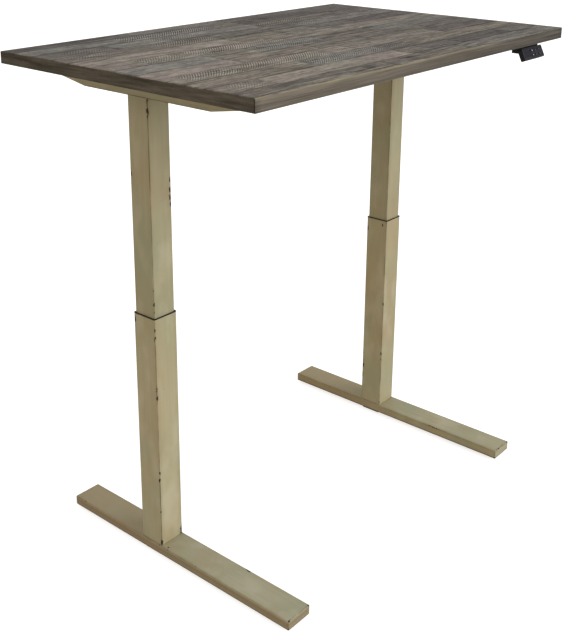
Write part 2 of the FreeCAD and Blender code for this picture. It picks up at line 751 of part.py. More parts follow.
def foot_caps(side, inward):
    """A plug in each end of the foot, with a flange on the end of the tube."""
    body = new_body(f"{side}_foot_caps", x=column_x(inward), y=FOOT_MID,
                    z="foot_lift + foot_height / 2")
    for end in (-1, 1):
        seat = f"{end} * (foot_length / 2 - cap_flange)"
        flange = new_sketch(body, "XZ", seat)
        rounded(flange, "foot_width", "foot_height", "foot_corner")
        pad(body, flange, "cap_flange", back=end < 0)
        plug = new_sketch(body, "XZ", seat)
        inside = "- 2 * foot_wall - 2 * column_fit"
        rounded(plug, f"(foot_width {inside})", f"(foot_height {inside})", "(foot_corner - foot_wall)")
        last = pad(body, plug, "cap_plug", back=end > 0)
    tip = amount("foot_length / 2") - NEAR
    round_edges(body, last, "cap_edge", lambda edge: abs(edge.CenterOfMass.y) > tip)


def clamp_plate(side, inward):
    """The steel plate under the foot, counterbored for the bolt heads."""
    body = new_body(f"{side}_clamp_plate", x=column_x(inward), y="column_back",
                    z="foot_lift - clamp_thick")
    places = grid(either_side("0", "base_bolt_pitch / 2"), either_side("0", "base_bolt_pitch / 2"))
    plate = new_sketch(body)
    rounded(plate, "clamp_width", "clamp_depth", "clamp_corner")
    circles(plate, "bolt_width + 2 * bolt_fit", places)
    pad(body, plate, "clamp_thick")
    seats = new_sketch(body)
    circles(seats, "bolt_head + 2 * bolt_fit", places)
    cut(body, seats, "bolt_head_thick + bolt_fit", forward=True)


def foot_bolts(side, inward):
    """Bolts up through the clamp plate and the foot into the column's base."""
    body = new_body(f"{side}_foot_bolts", x=column_x(inward), y="column_back",
                    z="foot_lift - clamp_thick + bolt_fit")
    places = grid(either_side("0", "base_bolt_pitch / 2"), either_side("0", "base_bolt_pitch / 2"))
    heads = new_sketch(body)
    circles(heads, "bolt_head", places)
    pad(body, heads, "bolt_head_thick")
    shanks = new_sketch(body)
    circles(shanks, "bolt_width", places)
    pad(body, shanks, "clamp_thick + foot_height + base_thick - screw_tip_gap")


def leveller_inserts(side, inward):
    """A threaded insert in the underside of the foot near each end."""
    body = new_body(f"{side}_leveller_inserts", x=column_x(inward), y=FOOT_MID, z="foot_lift")
    ends = [("0", f"-{LEVELLER_Y}"), ("0", LEVELLER_Y)]
    for width, height, down in (("insert_flange", "insert_flange_thick", True),
                                ("insert_width", "insert_length", False)):
        ring = new_sketch(body)
        circles(ring, width, ends)
        circles(ring, "leveller_stem + 2 * running_fit", ends)
        pad(body, ring, height, back=down)


def leveller(side, inward, place, end):
    """A levelling foot: a round pad on the floor and a stem screwed up into the insert."""
    body = new_body(f"{side}_{place}_leveller", x=column_x(inward), y=f"{FOOT_MID} + {end} * {LEVELLER_Y}")
    top = "(foot_lift - insert_flange_thick - end_play)"
    spin(body, [
        ("0", "0"), ("leveller_pad / 2 - leveller_edge", "0"), ("leveller_pad / 2", "leveller_edge"),
        ("leveller_pad / 2", "leveller_rim"), ("leveller_pad / 2 - leveller_slope", top),
        ("leveller_stem / 2", top), ("leveller_stem / 2", f"{LEVELLER_TOP} - leveller_edge"),
        ("leveller_stem / 2 - leveller_edge", LEVELLER_TOP), ("0", LEVELLER_TOP),
    ])


def control_box_base():
    """The flat plate that screws to the top, with an ear at each end."""
    body = new_body("control_box_base", y="column_back", z=f"{UNDERSIDE} - control_plate")
    plate = new_sketch(body)
    rounded(plate, "control_length + 2 * control_ear", "control_depth", "control_corner")
    circles(plate, "screw_width + 2 * screw_fit",
            grid(CONTROL_SCREW_X, either_side("0", "control_depth / 4")))
    pad(body, plate, "control_plate")


def control_box_cover():
    """The moulded cover below the plate, with posts for the board and ports in both ends."""
    body = new_body("control_box_cover", y="column_back", z=f"{UNDERSIDE} - control_plate - control_height")
    shell = new_sketch(body)
    rounded(shell, "control_length", "control_depth", "control_corner")
    block = pad(body, shell, "control_height")
    round_edges(body, block, "control_wall", lambda edge: edge.BoundBox.ZMax < NEAR)
    inside = new_sketch(body, offset="control_height")
    rounded(inside, "control_length - 2 * control_wall", "control_depth - 2 * control_wall",
            "(control_corner - control_wall)")
    cut(body, inside, "control_height - control_wall")
    posts = new_sketch(body, offset="control_wall / 2")
    circles(posts, "board_post", grid(
        either_side("0", "(control_length / 2 - board_margin - 2 * board_post)"),
        either_side("0", "(control_depth / 2 - board_margin - board_post)")))
    pad(body, posts, "control_wall / 2 + board_post")
    inlet = new_sketch(body, "YZ", "-control_length / 2")
    rectangle(inlet, "inlet_width + 2 * socket_fit", "inlet_height + 2 * socket_fit",
              y="control_height / 2")
    cut(body, inlet, "control_wall", forward=True)
    sockets = new_sketch(body, "YZ", "control_length / 2")
    for step in (-1, 0, 1):
        rectangle(sockets, "socket_width + 2 * socket_fit", "socket_height + 2 * socket_fit",
                  f"{step} * socket_pitch", "control_height / 2")
    cut(body, sockets, "control_wall")


def control_box_board():
    """The control circuit board on its posts."""
    body = new_body("control_box_board", y="column_back",
                    z=f"{UNDERSIDE} - control_plate - control_height + control_wall + board_post")
    board = new_sketch(body)
    trim = "- 2 * control_wall - 2 * board_margin"
    rectangle(board, f"control_length {trim} - 2 * inlet_depth", f"control_depth {trim}")
    pad(body, board, "board_thick")


def control_box_sockets():
    """Three sockets in a row in the right-hand end: two motors and the handset."""
    body = new_body("control_box_sockets", x="control_length / 2", y="column_back",
                    z=f"{UNDERSIDE} - control_plate - control_height / 2")
    shells = new_sketch(body, "YZ")
    for step in (-1, 0, 1):
        rectangle(shells, "socket_width", "socket_height", f"{step} * socket_pitch")
    pad(body, shells, "socket_depth", back=True)
    mouths = new_sketch(body, "YZ")
    for step in (-1, 0, 1):
        rectangle(mouths, "socket_width - 2 * socket_wall", "socket_height - 2 * socket_wall",
                  f"{step} * socket_pitch")
    cut(body, mouths, "socket_depth - 2 * socket_wall")


def power_inlet():
    """The mains inlet in the left-hand end: a flanged recess with three pins."""
    body = new_body("power_inlet", x="-control_length / 2", y="column_back",
                    z=f"{UNDERSIDE} - control_plate - control_height / 2")
    flange = new_sketch(body, "YZ")
    rectangle(flange, "inlet_width + 2 * inlet_lip", "inlet_height + 2 * inlet_lip")
    pad(body, flange, "inlet_flange", back=True)
    block = new_sketch(body, "YZ")
    rectangle(block, "inlet_width", "inlet_height")
    pad(body, block, "inlet_depth")
    mouth = new_sketch(body, "YZ", "-inlet_flange")
    rounded(mouth, "inlet_width - 2 * inlet_wall", "inlet_height - 2 * inlet_wall", "inlet_lip")
    cut(body, mouth, "inlet_flange + inlet_depth - inlet_back", forward=True)
    pins = new_sketch(body, "YZ", "inlet_depth - inlet_back / 2")
    for step, rise in ((-1, -1), (0, 2), (1, -1)):
        rectangle(pins, "inlet_pin / 2", "inlet_pin", f"{step} * inlet_pin_pitch", f"({rise})")
    pad(body, pins, "inlet_depth - inlet_back", back=True)


def handset_body(name, x="0", row="0"):
    """A piece of the handset: its own plane is the sloping face, and its normal points at the user."""
    tilt = "(handset_tilt * 1 deg)"
    body = new_body(name, x=f"{FACE_X} + {x}", y=f"{FACE_Y} + {row} * sin{tilt}",
                    z=f"{FACE_Z} + {row} * cos{tilt}")
    turn(body, V(1, 0, 0), "90 - handset_tilt")
    return body


def on_face(back, rise):
    """Where a point behind and above the middle of the face lies in the handset's own side view."""
    tilt = "(handset_tilt * 1 deg)"
    return (f"({back}) * sin{tilt} + ({rise}) * cos{tilt}", f"({rise}) * sin{tilt} - ({back}) * cos{tilt}")


def handset_housing():
    """A sloping box open at its face, on a block that screws up under the top."""
    body = handset_body("handset_housing")
    slab = new_sketch(body)
    rounded(slab, "handset_width", "handset_face", "handset_corner")
    box = pad(body, slab, "handset_thick", back=True)
    rear = NEAR - amount("handset_thick")
    round_edges(body, box, "handset_rim / 2", lambda edge: edge.BoundBox.ZMax < rear)
    block = new_sketch(body, "YZ", "handset_block_aside")
    front_low, back_low = "handset_block_gap - handset_block_root", "handset_block_gap + handset_block_back"
    low = "(handset_drop - handset_block_drop)"
    outline(block, [
        on_face("handset_block_gap", "handset_drop"), on_face(back_low, "handset_drop"),
        on_face(back_low, low), on_face(front_low, low), on_face(front_low, "handset_block_drop / 3"),
    ])
    pad(body, block, "handset_block", middle=True)
    ledge = new_sketch(body)
    width, height = "(handset_width - 2 * handset_rim)", "(handset_face - 2 * handset_rim)"
    rounded(ledge, width, height, "(handset_corner - handset_rim / 2)")
    cut(body, ledge, "handset_recess + faceplate_thick")
    cavity = new_sketch(body)
    rounded(cavity, f"{width} - 2 * handset_ledge", f"{height} - 2 * handset_ledge",
            "(handset_corner - handset_rim / 2)")
    cut(body, cavity, "handset_cavity")
    drill_block(body, "screw_width + 2 * screw_fit", "0", "handset_screw_floor")
    drill_block(body, "screw_head + 4 * screw_fit", "handset_screw_floor", "handset_block_drop")


def drill_block(body, width, start, end):
    """Upright holes in the handset's block, between two depths below the top's underside."""
    up, out = on_face("0", f"handset_drop - {start}")
    holes = new_sketch(body, offset=out)
    upright = FreeCAD.Rotation(V(1, 0, 0), amount("handset_tilt - 90"))
    holes.AttachmentOffset = FreeCAD.Placement(V(), upright)
    holes.setExpression("AttachmentOffset.Rotation.Angle", cells("(handset_tilt - 90) * 1 deg"))
    holes.setExpression("AttachmentOffset.Base.y", cells(up))
    circles(holes, width, grid(either_side("handset_block_aside", "handset_screw_pitch / 2"),
                               ["handset_screw_back"]))
    cut(body, holes, f"{end} - {start}")


# The handset's keys: name, column and row
BUTTONS = [
    ("up_button", 0, 0.5), ("down_button", 0, -0.5),
    ("preset_one_button", 1, 0.5), ("preset_two_button", 2, 0.5),
    ("preset_three_button", 1, -0.5), ("preset_four_button", 2, -0.5),
]


def button_place(column, row):
    """The middle of a key, along and up the face."""
    return f"({column} * button_pitch - button_left)", f"({row} * button_row)"


def handset_faceplate():
    """The plate let into the face, with a window for the display and a hole for each key."""
    body = handset_body("handset_faceplate")
    plate = new_sketch(body, offset=PLATE_BACK)
    trim = "- 2 * handset_rim - 2 * faceplate_fit"
    rounded(plate, f"(handset_width {trim})", f"(handset_face {trim})", "(handset_corner - handset_rim / 2)")
    pad(body, plate, "faceplate_thick")
    holes = new_sketch(body, offset=PLATE_FACE)
    rounded(holes, "display_width + 2 * button_fit", "display_height + 2 * button_fit", "button_corner",
            x="(-display_left)")
    for name, column, row in BUTTONS:
        x, y = button_place(column, row)
        rounded(holes, "button_width + 2 * button_fit", "button_height + 2 * button_fit",
                "(button_corner + button_fit)", x, y)
    cut(body, holes, "faceplate_thick")


def handset_display():
    """The display, standing on the board behind the window."""
    body = handset_body("handset_display")
    glass = new_sketch(body, offset=BOARD_FACE)
    rounded(glass, "display_width", "display_height", "(button_corner - button_fit)", x="(-display_left)")
    pad(body, glass, f"{PLATE_FACE} - display_recess / 2 - {BOARD_FACE}")


def handset_circuit_board():
    """The board on the floor of the housing, with a switch dome behind each key."""
    body = handset_body("handset_circuit_board")
    board = new_sketch(body, offset=CAVITY_FLOOR)
    trim = "- 2 * handset_rim - 2 * handset_ledge - 2 * faceplate_fit"
    rounded(board, f"(handset_width {trim})", f"(handset_face {trim})", "(handset_corner - handset_rim / 2)")
    pad(body, board, "board_thick")
    domes = new_sketch(body, offset=BOARD_FACE)
    circles(domes, "dome_width", [button_place(column, row) for name, column, row in BUTTONS])
    pad(body, domes, "dome_height")


def handset_button(name, column, row):
    """A key: a cap standing through the faceplate on a flange that keeps it in."""
    x, y = button_place(column, row)
    body = handset_body(name, x, y)
    low = f"({PLATE_BACK} - end_play - button_flange_thick)"
    flange = new_sketch(body, offset=low)
    rounded(flange, "button_width + 2 * button_flange", "button_height + 2 * button_flange", "button_corner")
    pad(body, flange, "button_flange_thick")
    cap = new_sketch(body, offset=low)
    rounded(cap, "button_width", "button_height", "button_corner")
    key = pad(body, cap, f"{PLATE_FACE} + button_proud - {low}")
    front = amount(PLATE_FACE) + amount("button_proud") - NEAR
    round_edges(body, key, "button_proud / 2", lambda edge: edge.BoundBox.ZMin > front)


desktop()
desktop_screws()
gearbox_screws()
for rail_name, rail_place in zip(("front_crossbar", "rear_crossbar"), RAIL_Y):
    crossbar(rail_name, rail_place)
crossbar_bolts()
for leg, toward_middle in (("left", 1), ("right", -1)):
    for make in (bracket, inner_column, lower_glide, gearbox, motor, spindle_bearing, spindle,
                 spindle_nut, drive_tube, outer_column, collar, column_base, foot, foot_caps,
                 clamp_plate, foot_bolts, leveller_inserts):
        make(leg, toward_middle)
    for foot_end, way in (("front", -1), ("rear", 1)):
        leveller(leg, toward_middle, foot_end, way)
for make in (control_box_base, control_box_cover, control_box_board, control_box_sockets, power_inlet,
             handset_housing, handset_faceplate, handset_display, handset_circuit_board):
    make()
for key_name, key_column, key_row in BUTTONS:
    handset_button(key_name, key_column, key_row)

doc.recompute()
failed = [item.Label for item in doc.Objects if {"Invalid", "Error"} & set(item.State)]
for node in nodes:
    if node.Shape.isNull() or not node.Shape.isValid():
        failed.append(node.Label)
if failed:
    raise RuntimeError(f"these did not build: {failed}")

os.makedirs("parts", exist_ok=True)
for node in nodes:
    node.Shape.exportStep(f"parts/{node.Label}.step")
    box = node.Shape.BoundBox
    print(f"{node.Label}: {len(node.Shape.Solids)} solids, {node.Shape.Volume / 1000:.1f} cm3, "
          f"z {box.ZMin:.1f} to {box.ZMax:.1f}")
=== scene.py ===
"""The look of the standing desk: weathered plank top, chipped cream frame, black handset."""
import json
import math

import bpy
import numpy as np
from mathutils import Matrix, Vector


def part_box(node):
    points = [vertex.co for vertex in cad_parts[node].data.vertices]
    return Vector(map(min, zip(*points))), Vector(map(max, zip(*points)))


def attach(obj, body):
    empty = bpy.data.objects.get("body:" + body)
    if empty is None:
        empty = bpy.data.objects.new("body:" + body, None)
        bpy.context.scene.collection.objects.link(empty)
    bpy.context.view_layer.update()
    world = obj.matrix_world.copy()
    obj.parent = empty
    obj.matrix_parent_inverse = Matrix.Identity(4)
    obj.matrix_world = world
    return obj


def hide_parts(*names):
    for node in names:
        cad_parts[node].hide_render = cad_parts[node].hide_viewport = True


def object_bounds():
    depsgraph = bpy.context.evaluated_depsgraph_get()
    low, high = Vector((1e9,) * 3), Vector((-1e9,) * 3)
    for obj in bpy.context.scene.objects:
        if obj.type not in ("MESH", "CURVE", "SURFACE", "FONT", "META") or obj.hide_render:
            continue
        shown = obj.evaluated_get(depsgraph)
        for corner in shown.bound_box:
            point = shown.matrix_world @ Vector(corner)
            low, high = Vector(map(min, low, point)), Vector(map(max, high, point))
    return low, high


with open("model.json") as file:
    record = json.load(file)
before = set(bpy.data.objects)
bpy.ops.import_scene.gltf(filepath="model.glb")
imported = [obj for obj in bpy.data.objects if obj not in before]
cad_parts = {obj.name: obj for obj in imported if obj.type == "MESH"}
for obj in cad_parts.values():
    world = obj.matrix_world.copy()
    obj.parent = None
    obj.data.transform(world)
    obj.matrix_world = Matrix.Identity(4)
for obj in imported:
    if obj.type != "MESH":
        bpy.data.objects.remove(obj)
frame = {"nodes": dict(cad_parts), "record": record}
CAD_LOW, CAD_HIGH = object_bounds()
NODES = frame["nodes"]
MM = 0.001
TOP_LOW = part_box("desktop")[0].z
TOP_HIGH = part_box("desktop")[1].z

# Camera, as the photograph was taken: image 562 by 634, long side on the 36 mm sensor
CAMERA_PLACE = (-1.930443, -1.559724, 1.601142)
CAMERA_AZIMUTH = -49.782
CAMERA_ELEVATION = 17.685
CAMERA_ROLL = 0.398
CAMERA_LENS = 57.717
CAMERA_SHIFT_Y = -0.18454

# Light: a soft sky, warm low down on the left and neutral overhead, and one wide sun from the front right
SKY_LEVEL = 0.64
SKY_LEFT_COLOUR = (1.35, 1.02, 0.64, 1)
SKY_RIGHT_COLOUR = (1, 0.95, 0.86, 1)
SKY_HIGH_COLOUR = (0.96, 1, 1.02, 1)
SUN_LEVEL = 1.6
SUN_COLOUR = (1, 1.04, 1.12)
SUN_WIDTH = 45
SUN_TOWARDS = (0.33, -0.89, 0.31)
FLOOR_SIZE = 80
FLOOR_COLOUR = (0.6, 0.6, 0.6, 1)
FLOOR_GLOW = 0.76

# Plank top: staves glued edge to edge in rows, sizes in millimetres
ROW_EDGES = (381, 328, 266, 204, 138, 72, 6, -64, -128, -192, -258, -321, -381)
WOOD_TONES = {
    "pale": (138, 131, 125),
    "tan": (142, 135, 128),
    "mauve": (130, 124, 117),
    "olive": (124, 118, 110),
    "grey": (121, 119, 115),
    "green_grey": (117, 114, 110),
    "brown": (113, 108, 102),
    "red_brown": (105, 101, 97),
    "slate": (102, 97, 95),
    "charcoal": (93, 89, 87),
}
TINT_RANGE = (0.97, 1.03)
WARM_CAST = (1.025, 0.985, 0.99, 1)
COOL_CAST = (0.985, 1.01, 0.98, 1)
# Each row from the left, back row first: right end of the stave, its tone, how marked its figure is, and
# any saw marks: where each stretch starts and ends, how strong it is, and how far it leans
# The tones are set darker towards the right and the back, as painted shade for the light falling off across
# the top
STAVES = (
    ((-255, "charcoal", 1), (70, "green_grey", 0.8), (610, "red_brown", 1)),
    ((-340, "grey", 0.9), (-20, "green_grey", 0.8, (-335, -190, 1.1, 0.87), (-190, -30, 1.2, 0.92)),
     (80, "brown", 1), (400, "charcoal", 0.9), (610, "slate", 1)),
    ((-415, "red_brown", 1, (-545, -430, 0.42, 0.8)), (75, "grey", 0.7, (-290, -140, 0.6, 0.9)),
     (430, "brown", 1, (90, 270, 1.2, 1.16)), (610, "slate", 1.1)),
    ((-140, "brown", 1.1, (-570, -470, 0.45, 0.82), (-320, -150, 0.95, 0.92)),
     (165, "red_brown", 1.1), (610, "green_grey", 0.9, (170, 260, 0.7, 1.2))),
    ((-150, "tan", 0.8), (30, "olive", 1.1), (160, "brown", 1.1), (330, "red_brown", 1.2),
     (610, "slate", 1)),
    ((0, "mauve", 0.9, (-500, -380, 0.6, 0.9), (-360, -150, 0.95, 0.96), (-150, -20, 0.6, 1.02)),
     (610, "mauve", 0.9)),
    ((-350, "grey", 0.9), (-215, "olive", 1.4),
     (20, "grey", 1.2, (-210, -60, 0.7, 1.06), (-60, 10, 0.75, 1.1)), (240, "brown", 1.2),
     (610, "green_grey", 1)),
    ((-350, "pale", 0.6), (-90, "olive", 1.35), (100, "brown", 1.1), (370, "brown", 1),
     (610, "red_brown", 1.1)),
    ((-130, "mauve", 0.8, (-570, -410, 0.85, 1), (-400, -140, 0.95, 1.07)), (-40, "tan", 0.6),
     (330, "mauve", 0.8), (610, "slate", 1)),
    ((-265, "olive", 1.2), (5, "grey", 1, (-260, -120, 0.95, 1.14), (-120, 0, 0.9, 1.3)),
     (115, "red_brown", 1, (30, 85, 1.2, 1.42)), (610, "olive", 0.9)),
    ((-473, "mauve", 0.9, (-570, -490, 0.4, 1.02)), (-10, "tan", 0.6, (-80, -25, 0.45, 1.34)),
     (80, "brown", 1), (210, "slate", 1), (450, "charcoal", 0.8), (610, "red_brown", 1)),
    ((-150, "brown", 1.5), (10, "brown", 1.2), (160, "brown", 1), (610, "green_grey", 1)),
)
# Dark stains on the top: middle, half length, half width and depth
SMUDGES = (
    (-160, 326, 150, 8, 0.55), (-90, 204, 200, 6, 0.5), (385, 139, 200, 7, 0.45), (170, -8, 120, 6, 0.6),
    (-390, -258, 110, 6, 0.5), (-60, -342, 28, 20, 0.75), (-197, -350, 34, 16, 0.5),
    (-75, -38, 45, 12, 0.55), (-5, -38, 16, 12, 0.7), (265, -3, 40, 8, 0.6), (390, -108, 36, 14, 0.45),
    (-419, 218, 6, 26, 0.6), (-570, 71, 22, 8, 0.6), (285, 300, 80, 18, 0.3), (-370, -108, 10, 6, 0.5),
    (-470, 264, 110, 6, 0.45), (-430, 136, 160, 6, 0.35), (-300, 72, 160, 5, 0.35), (430, 72, 150, 6, 0.3),
    (480, -195, 110, 6, 0.4), (40, -256, 90, 7, 0.4), (500, -318, 110, 7, 0.35), (-200, -128, 90, 5, 0.35),
    (60, 40, 60, 8, 0.35), (572, 39, 52, 32, 0.42),
)
SMUDGE_FALL = 1.4
TOP_WOOD, END_WOOD, EDGE_WOOD = 0, 1, 2
NUMBERS = ("saw", "joint", "arris", "smudge", "figure")
# How a stave is meshed, eased and grooved, and how its grain lies
STAVE_SEED = 41
ACROSS_STEP = 1.6
SAWN_STEP = 1.2
PLAIN_STEP = 10
EDGE_SAMPLES = 8
OUTER_BREAK = 1.2
JOINT_BREAK = 0.35
STAVE_DROP = 0.25
BUTT_GAP = 0.02
PLANK_CREASE = 50
WAVE_GAIN = 1.5
GROOVE_DEPTH = 0.12
GROOVE_WAVES = (5.3, 8.9, 14.1)
GROOVE_WANDER = (310, 470)
GROOVE_LEVEL = 0.6
GROOVE_SWING = 0.4
GROOVE_PATCHES = (83, 190)
GRAIN_SPREAD = 40
GRAIN_SWAY = 5
GROWTH_LINES = 55
ARRIS_REACH = 5
# The saw marks, and the patches in which they come and go
SAW_PITCH = 7.5
SAW_DEPTH = 0.25
SAW_RADIUS = 400
SAW_MARGIN = 12
SAW_FADE = 30
SAW_WAVER = 0.6
SAW_WAVES = (97, 151, 230)
SAW_ROUNDNESS = 0.5
SAW_AT_JOINT = 0.2
PATCH_LEVEL = 0.85
PATCH_SWING = 0.35
PATCH_LEANS = ((1.2, (61, 143, 260)), (-2.5, (47, 89, 170)))
PATCH_LEAST = 0.05

# Cream paint: its strokes, so many to the metre, how far it chips along the edges, and the places where
# it is knocked off, each with its reach, drawn out along the piece and with a straying outline
UPRIGHT = (150, 150, 5)
FRONT_TO_BACK = (150, 5, 150)
SIDEWAYS = (5, 150, 150)
CHIP_REACH = 5
KNOCK_UPRIGHT = (1, 1, 0.45)
KNOCK_FLAT = (1, 0.45, 1)
KNOCK_STRAY = 9
KNOCK_LUMPS = (110, 110, 70)
KNOCK_CORE = 0.8
KNOCKS = {
    "left_inner_column": (
        (-494, 30, 1141, 4), (-494, 30, 1122, 4.2), (-494, 30, 1106, 2.6), (-494, 30, 706, 2.4),
        (-494, 30, 670, 2.8), (-494, 30, 655, 2.2), (-433, 30, 957, 3.6), (-433, 30, 932, 3.4),
        (-435, 30, 914, 3.8), (-433, 30, 897, 3.4), (-494, 92, 984, 3.4), (-494, 91, 970, 3.6),
    ),
    "left_outer_column": (
        (-497, 27, 608, 2.6), (-497, 27, 588, 3.4), (-497, 27, 458, 3), (-497, 27, 436, 2.8),
        (-497, 27, 236, 3), (-497, 27, 216, 3.6), (-497, 27, 38, 4.5), (-427, 27, 38, 9),
        (-497, 94, 622, 4.4),
    ),
    "right_inner_column": ((430, 30, 928, 2.6), (430, 30, 905, 2.2), (493, 30, 880, 3)),
    "right_outer_column": (
        (427, 94, 602, 4.6), (427, 40, 622, 2.6), (427, 27, 372, 3), (427, 27, 206, 3.4),
        (427, 27, 184, 2.8), (427, 27, 42, 2.4), (427, 94, 150, 4.4), (427, 94, 118, 4),
    ),
    "left_foot_caps": (
        (-496, -380, 32, 4), (-499.5, -380, 8, 4.5), (-424.5, -380, 32, 5), (-499.5, 355, 31, 5),
        (-499.5, 355, 22, 4),
    ),
    "right_foot_caps": (
        (499.5, -380, 32, 7), (424.5, 355, 31, 5), (424.5, -380, 8, 4), (437, -380, 33, 2),
        (446, -380, 33, 2.4), (455, -380, 33, 2.2), (466, -380, 33, 1.8),
    ),
    "left_foot": ((-427, -195, 32, 3.4), (-490, 10, 33, 2.2)),
    "right_foot": (
        (424.5, -190, 31, 1.9), (424.5, -183, 31, 1.9), (424.5, -176, 31, 2), (424.5, -169, 31, 2),
        (424.5, -162, 31, 1.9), (424.5, -155, 31, 1.8),
    ),
}

# The feet: painted light that makes the upper face paler and cooler, painted shade that darkens the sides
# brown, and how dark the worn line stays along the upper edges
UPPER_FACE_LIGHT = {"left": (1.1, 1.2, 1.38, 1), "right": (1.1, 1.17, 1.28, 1)}
SIDE_SHADE = {"left": 0.8, "right": 0}
UPPER_LINE = {"foot": 0.4, "foot_caps": 0.9}

# Screws and bolts: their recesses as shares of the head, their threads in millimetres
HEX_FLAT = 0.36
HEX_TAPER = 1
CROSS_REACH = 0.58
CROSS_ARM = 0.16
CROSS_TAPER = 0.6
RECESS_DEPTH = 0.6
CROWN_FALL = 0.5
CROWN_RINGS = 7
SOCKET_SPOKES = 36
FLANK_SPOKES = 4
RINGS_PER_TURN = 8
WOOD_THREAD = {"pitch": 2.4, "depth": 0.55, "length": 21, "tip": 6, "point": 0.06}
METAL_THREAD = {"pitch": 1, "depth": 0.3, "length": 14, "tip": 0.8, "point": 0.8}
SAME_PLACE = 0.01
SCREW_CREASE = 40
# The lift screws: a trapezoid thread of several starts, with its corners as shares of one start
LEAD = 20
STARTS = 5
LEAD_DEPTH = 1.6
RINGS_PER_LEAD = 24
THREAD_CORNERS = (0, 0.3, 0.5, 0.8)
THREAD_ROOT = (0, 0, 1, 1)
LEAD_CREASE = 30
# The levelling feet
STEM_THREAD = {"pitch": 1.25, "depth": 0.45}
FLUTES = 30
FLUTE_DEPTH = 0.6
SPOKES_PER_FLUTE = 4

# Handset keys
HANDSET_TILT = 25.5
MARK_HEIGHT = 0.06
ARROW_SIZE = 4.2
ARROW_STROKE = 0.62
DIGIT_SIZE = 3.8


def tone(red, green, blue):
    """A colour as it is seen on screen, 0 to 255, turned into the linear values of a shader."""
    seen = np.array((red, green, blue)) / 255
    linear = np.where(seen <= 0.04045, seen / 12.92, ((seen + 0.055) / 1.055) ** 2.4)
    return (*linear.tolist(), 1.0)


class Nodes:
    """The nodes of one shader tree, and the sums that they make."""

    def __init__(self, tree):
        self.tree = tree

    def node(self, kind, inputs, **options):
        """A new node with its options set and its inputs linked or set; gives its outputs."""
        made = self.tree.nodes.new("ShaderNode" + kind)
        for option, value in options.items():
            setattr(made, option, value)
        for socket, value in inputs.items():
            self.feed(made.inputs[socket], value)
        return made.outputs

    def feed(self, socket, value):
        """Links a socket to another node's output, or sets it to a value."""
        if isinstance(value, bpy.types.NodeSocket):
            self.tree.links.new(value, socket)
        else:
            socket.default_value = value

    def calc(self, operation, first, second=0.0):
        """One sum of two numbers."""
        return self.node("Math", {0: first, 1: second}, operation=operation)[0]

    def times(self, first, second):
        """One number times another."""
        return self.calc("MULTIPLY", first, second)

    def vector(self, operation, first, second=(0, 0, 0)):
        """One sum of two vectors."""
        return self.node("VectorMath", {0: first, 1: second}, operation=operation)[0]

    def split(self, vector):
        """The three numbers of a vector."""
        return self.node("SeparateXYZ", {0: vector})

    def cloud(self, place, stretch, detail=2.0, rough=0.5):
        """Soft noise from 0 to 1 with so many lumps to the metre along each axis, or along all of them."""
        scale = np.broadcast_to(stretch, 3).tolist()
        scaled = self.node("Mapping", {"Vector": place, "Scale": scale})[0]
        inputs = {"Vector": scaled, "Scale": 1.0, "Detail": detail, "Roughness": rough}
        return self.node("TexNoise", inputs)[0]

    def ramp(self, value, low, high, start=0.0, end=1.0):
        """A value between low and high carried over to start and end, and held beyond them."""
        inputs = {0: value, 1: low, 2: high, 3: start, 4: end}
        return self.node("MapRange", inputs)[0]

    def blend(self, amount, first, second):
        """The first colour at amount 0, the second at 1."""
        return self.node("Mix", {0: amount, 6: first, 7: second}, data_type="RGBA")[2]

    def dim(self, colour, level):
        """A colour made lighter or darker by a factor."""
        return self.node("VectorMath", {0: colour, "Scale": level}, operation="SCALE")[0]

    def shaded(self, colour, *steps):
        """A colour dimmed in steps: each has a value, its low and high, and the factor at either end."""
        for value, low, high, start, end in steps:
            colour = self.dim(colour, self.ramp(value, low, high, start, end))
        return colour

    def bump(self, height, depth, strength=1.0):
        """The surface raised by a height from 0 to 1, of so many metres."""
        inputs = {"Height": height, "Distance": depth, "Strength": strength}
        return self.node("Bump", inputs)[0]


class Finish(Nodes):
    """One procedural material: its shader, and the nodes that feed it."""

    def __init__(self, name, **constants):
        self.material = bpy.data.materials.new(name)
        self.material.use_nodes = True
        super().__init__(self.material.node_tree)
        self.shader = self.tree.nodes["Principled BSDF"]
        self.wear(**constants)

    def wear(self, **sockets):
        """Feeds or sets the shader's own sockets and gives the material."""
        for socket, value in sockets.items():
            self.feed(self.shader.inputs[socket.replace("_", " ")], value)
        return self.material

    def place(self):
        """The point on the surface, in the piece's own coordinates."""
        return self.node("TexCoord", {})["Object"]

    def attribute(self, name, output="Fac"):
        """A value that the mesh carries."""
        return self.node("Attribute", {}, attribute_name=name)[output]


def rubbed_pale(finish, colour, place, lumps):
    """A colour rubbed pale along the top's outer corner, in patches that thin out to the right."""
    worn = finish.ramp(finish.cloud(place, lumps, 3), 0.38, 0.58, 0.1, 0.9)
    worn = finish.times(worn, finish.ramp(finish.split(place)["X"], -0.05, 0.3, 1, 0.15))
    arris = finish.times(finish.attribute("arris"), worn)
    return finish.blend(arris, colour, tone(158, 149, 116))


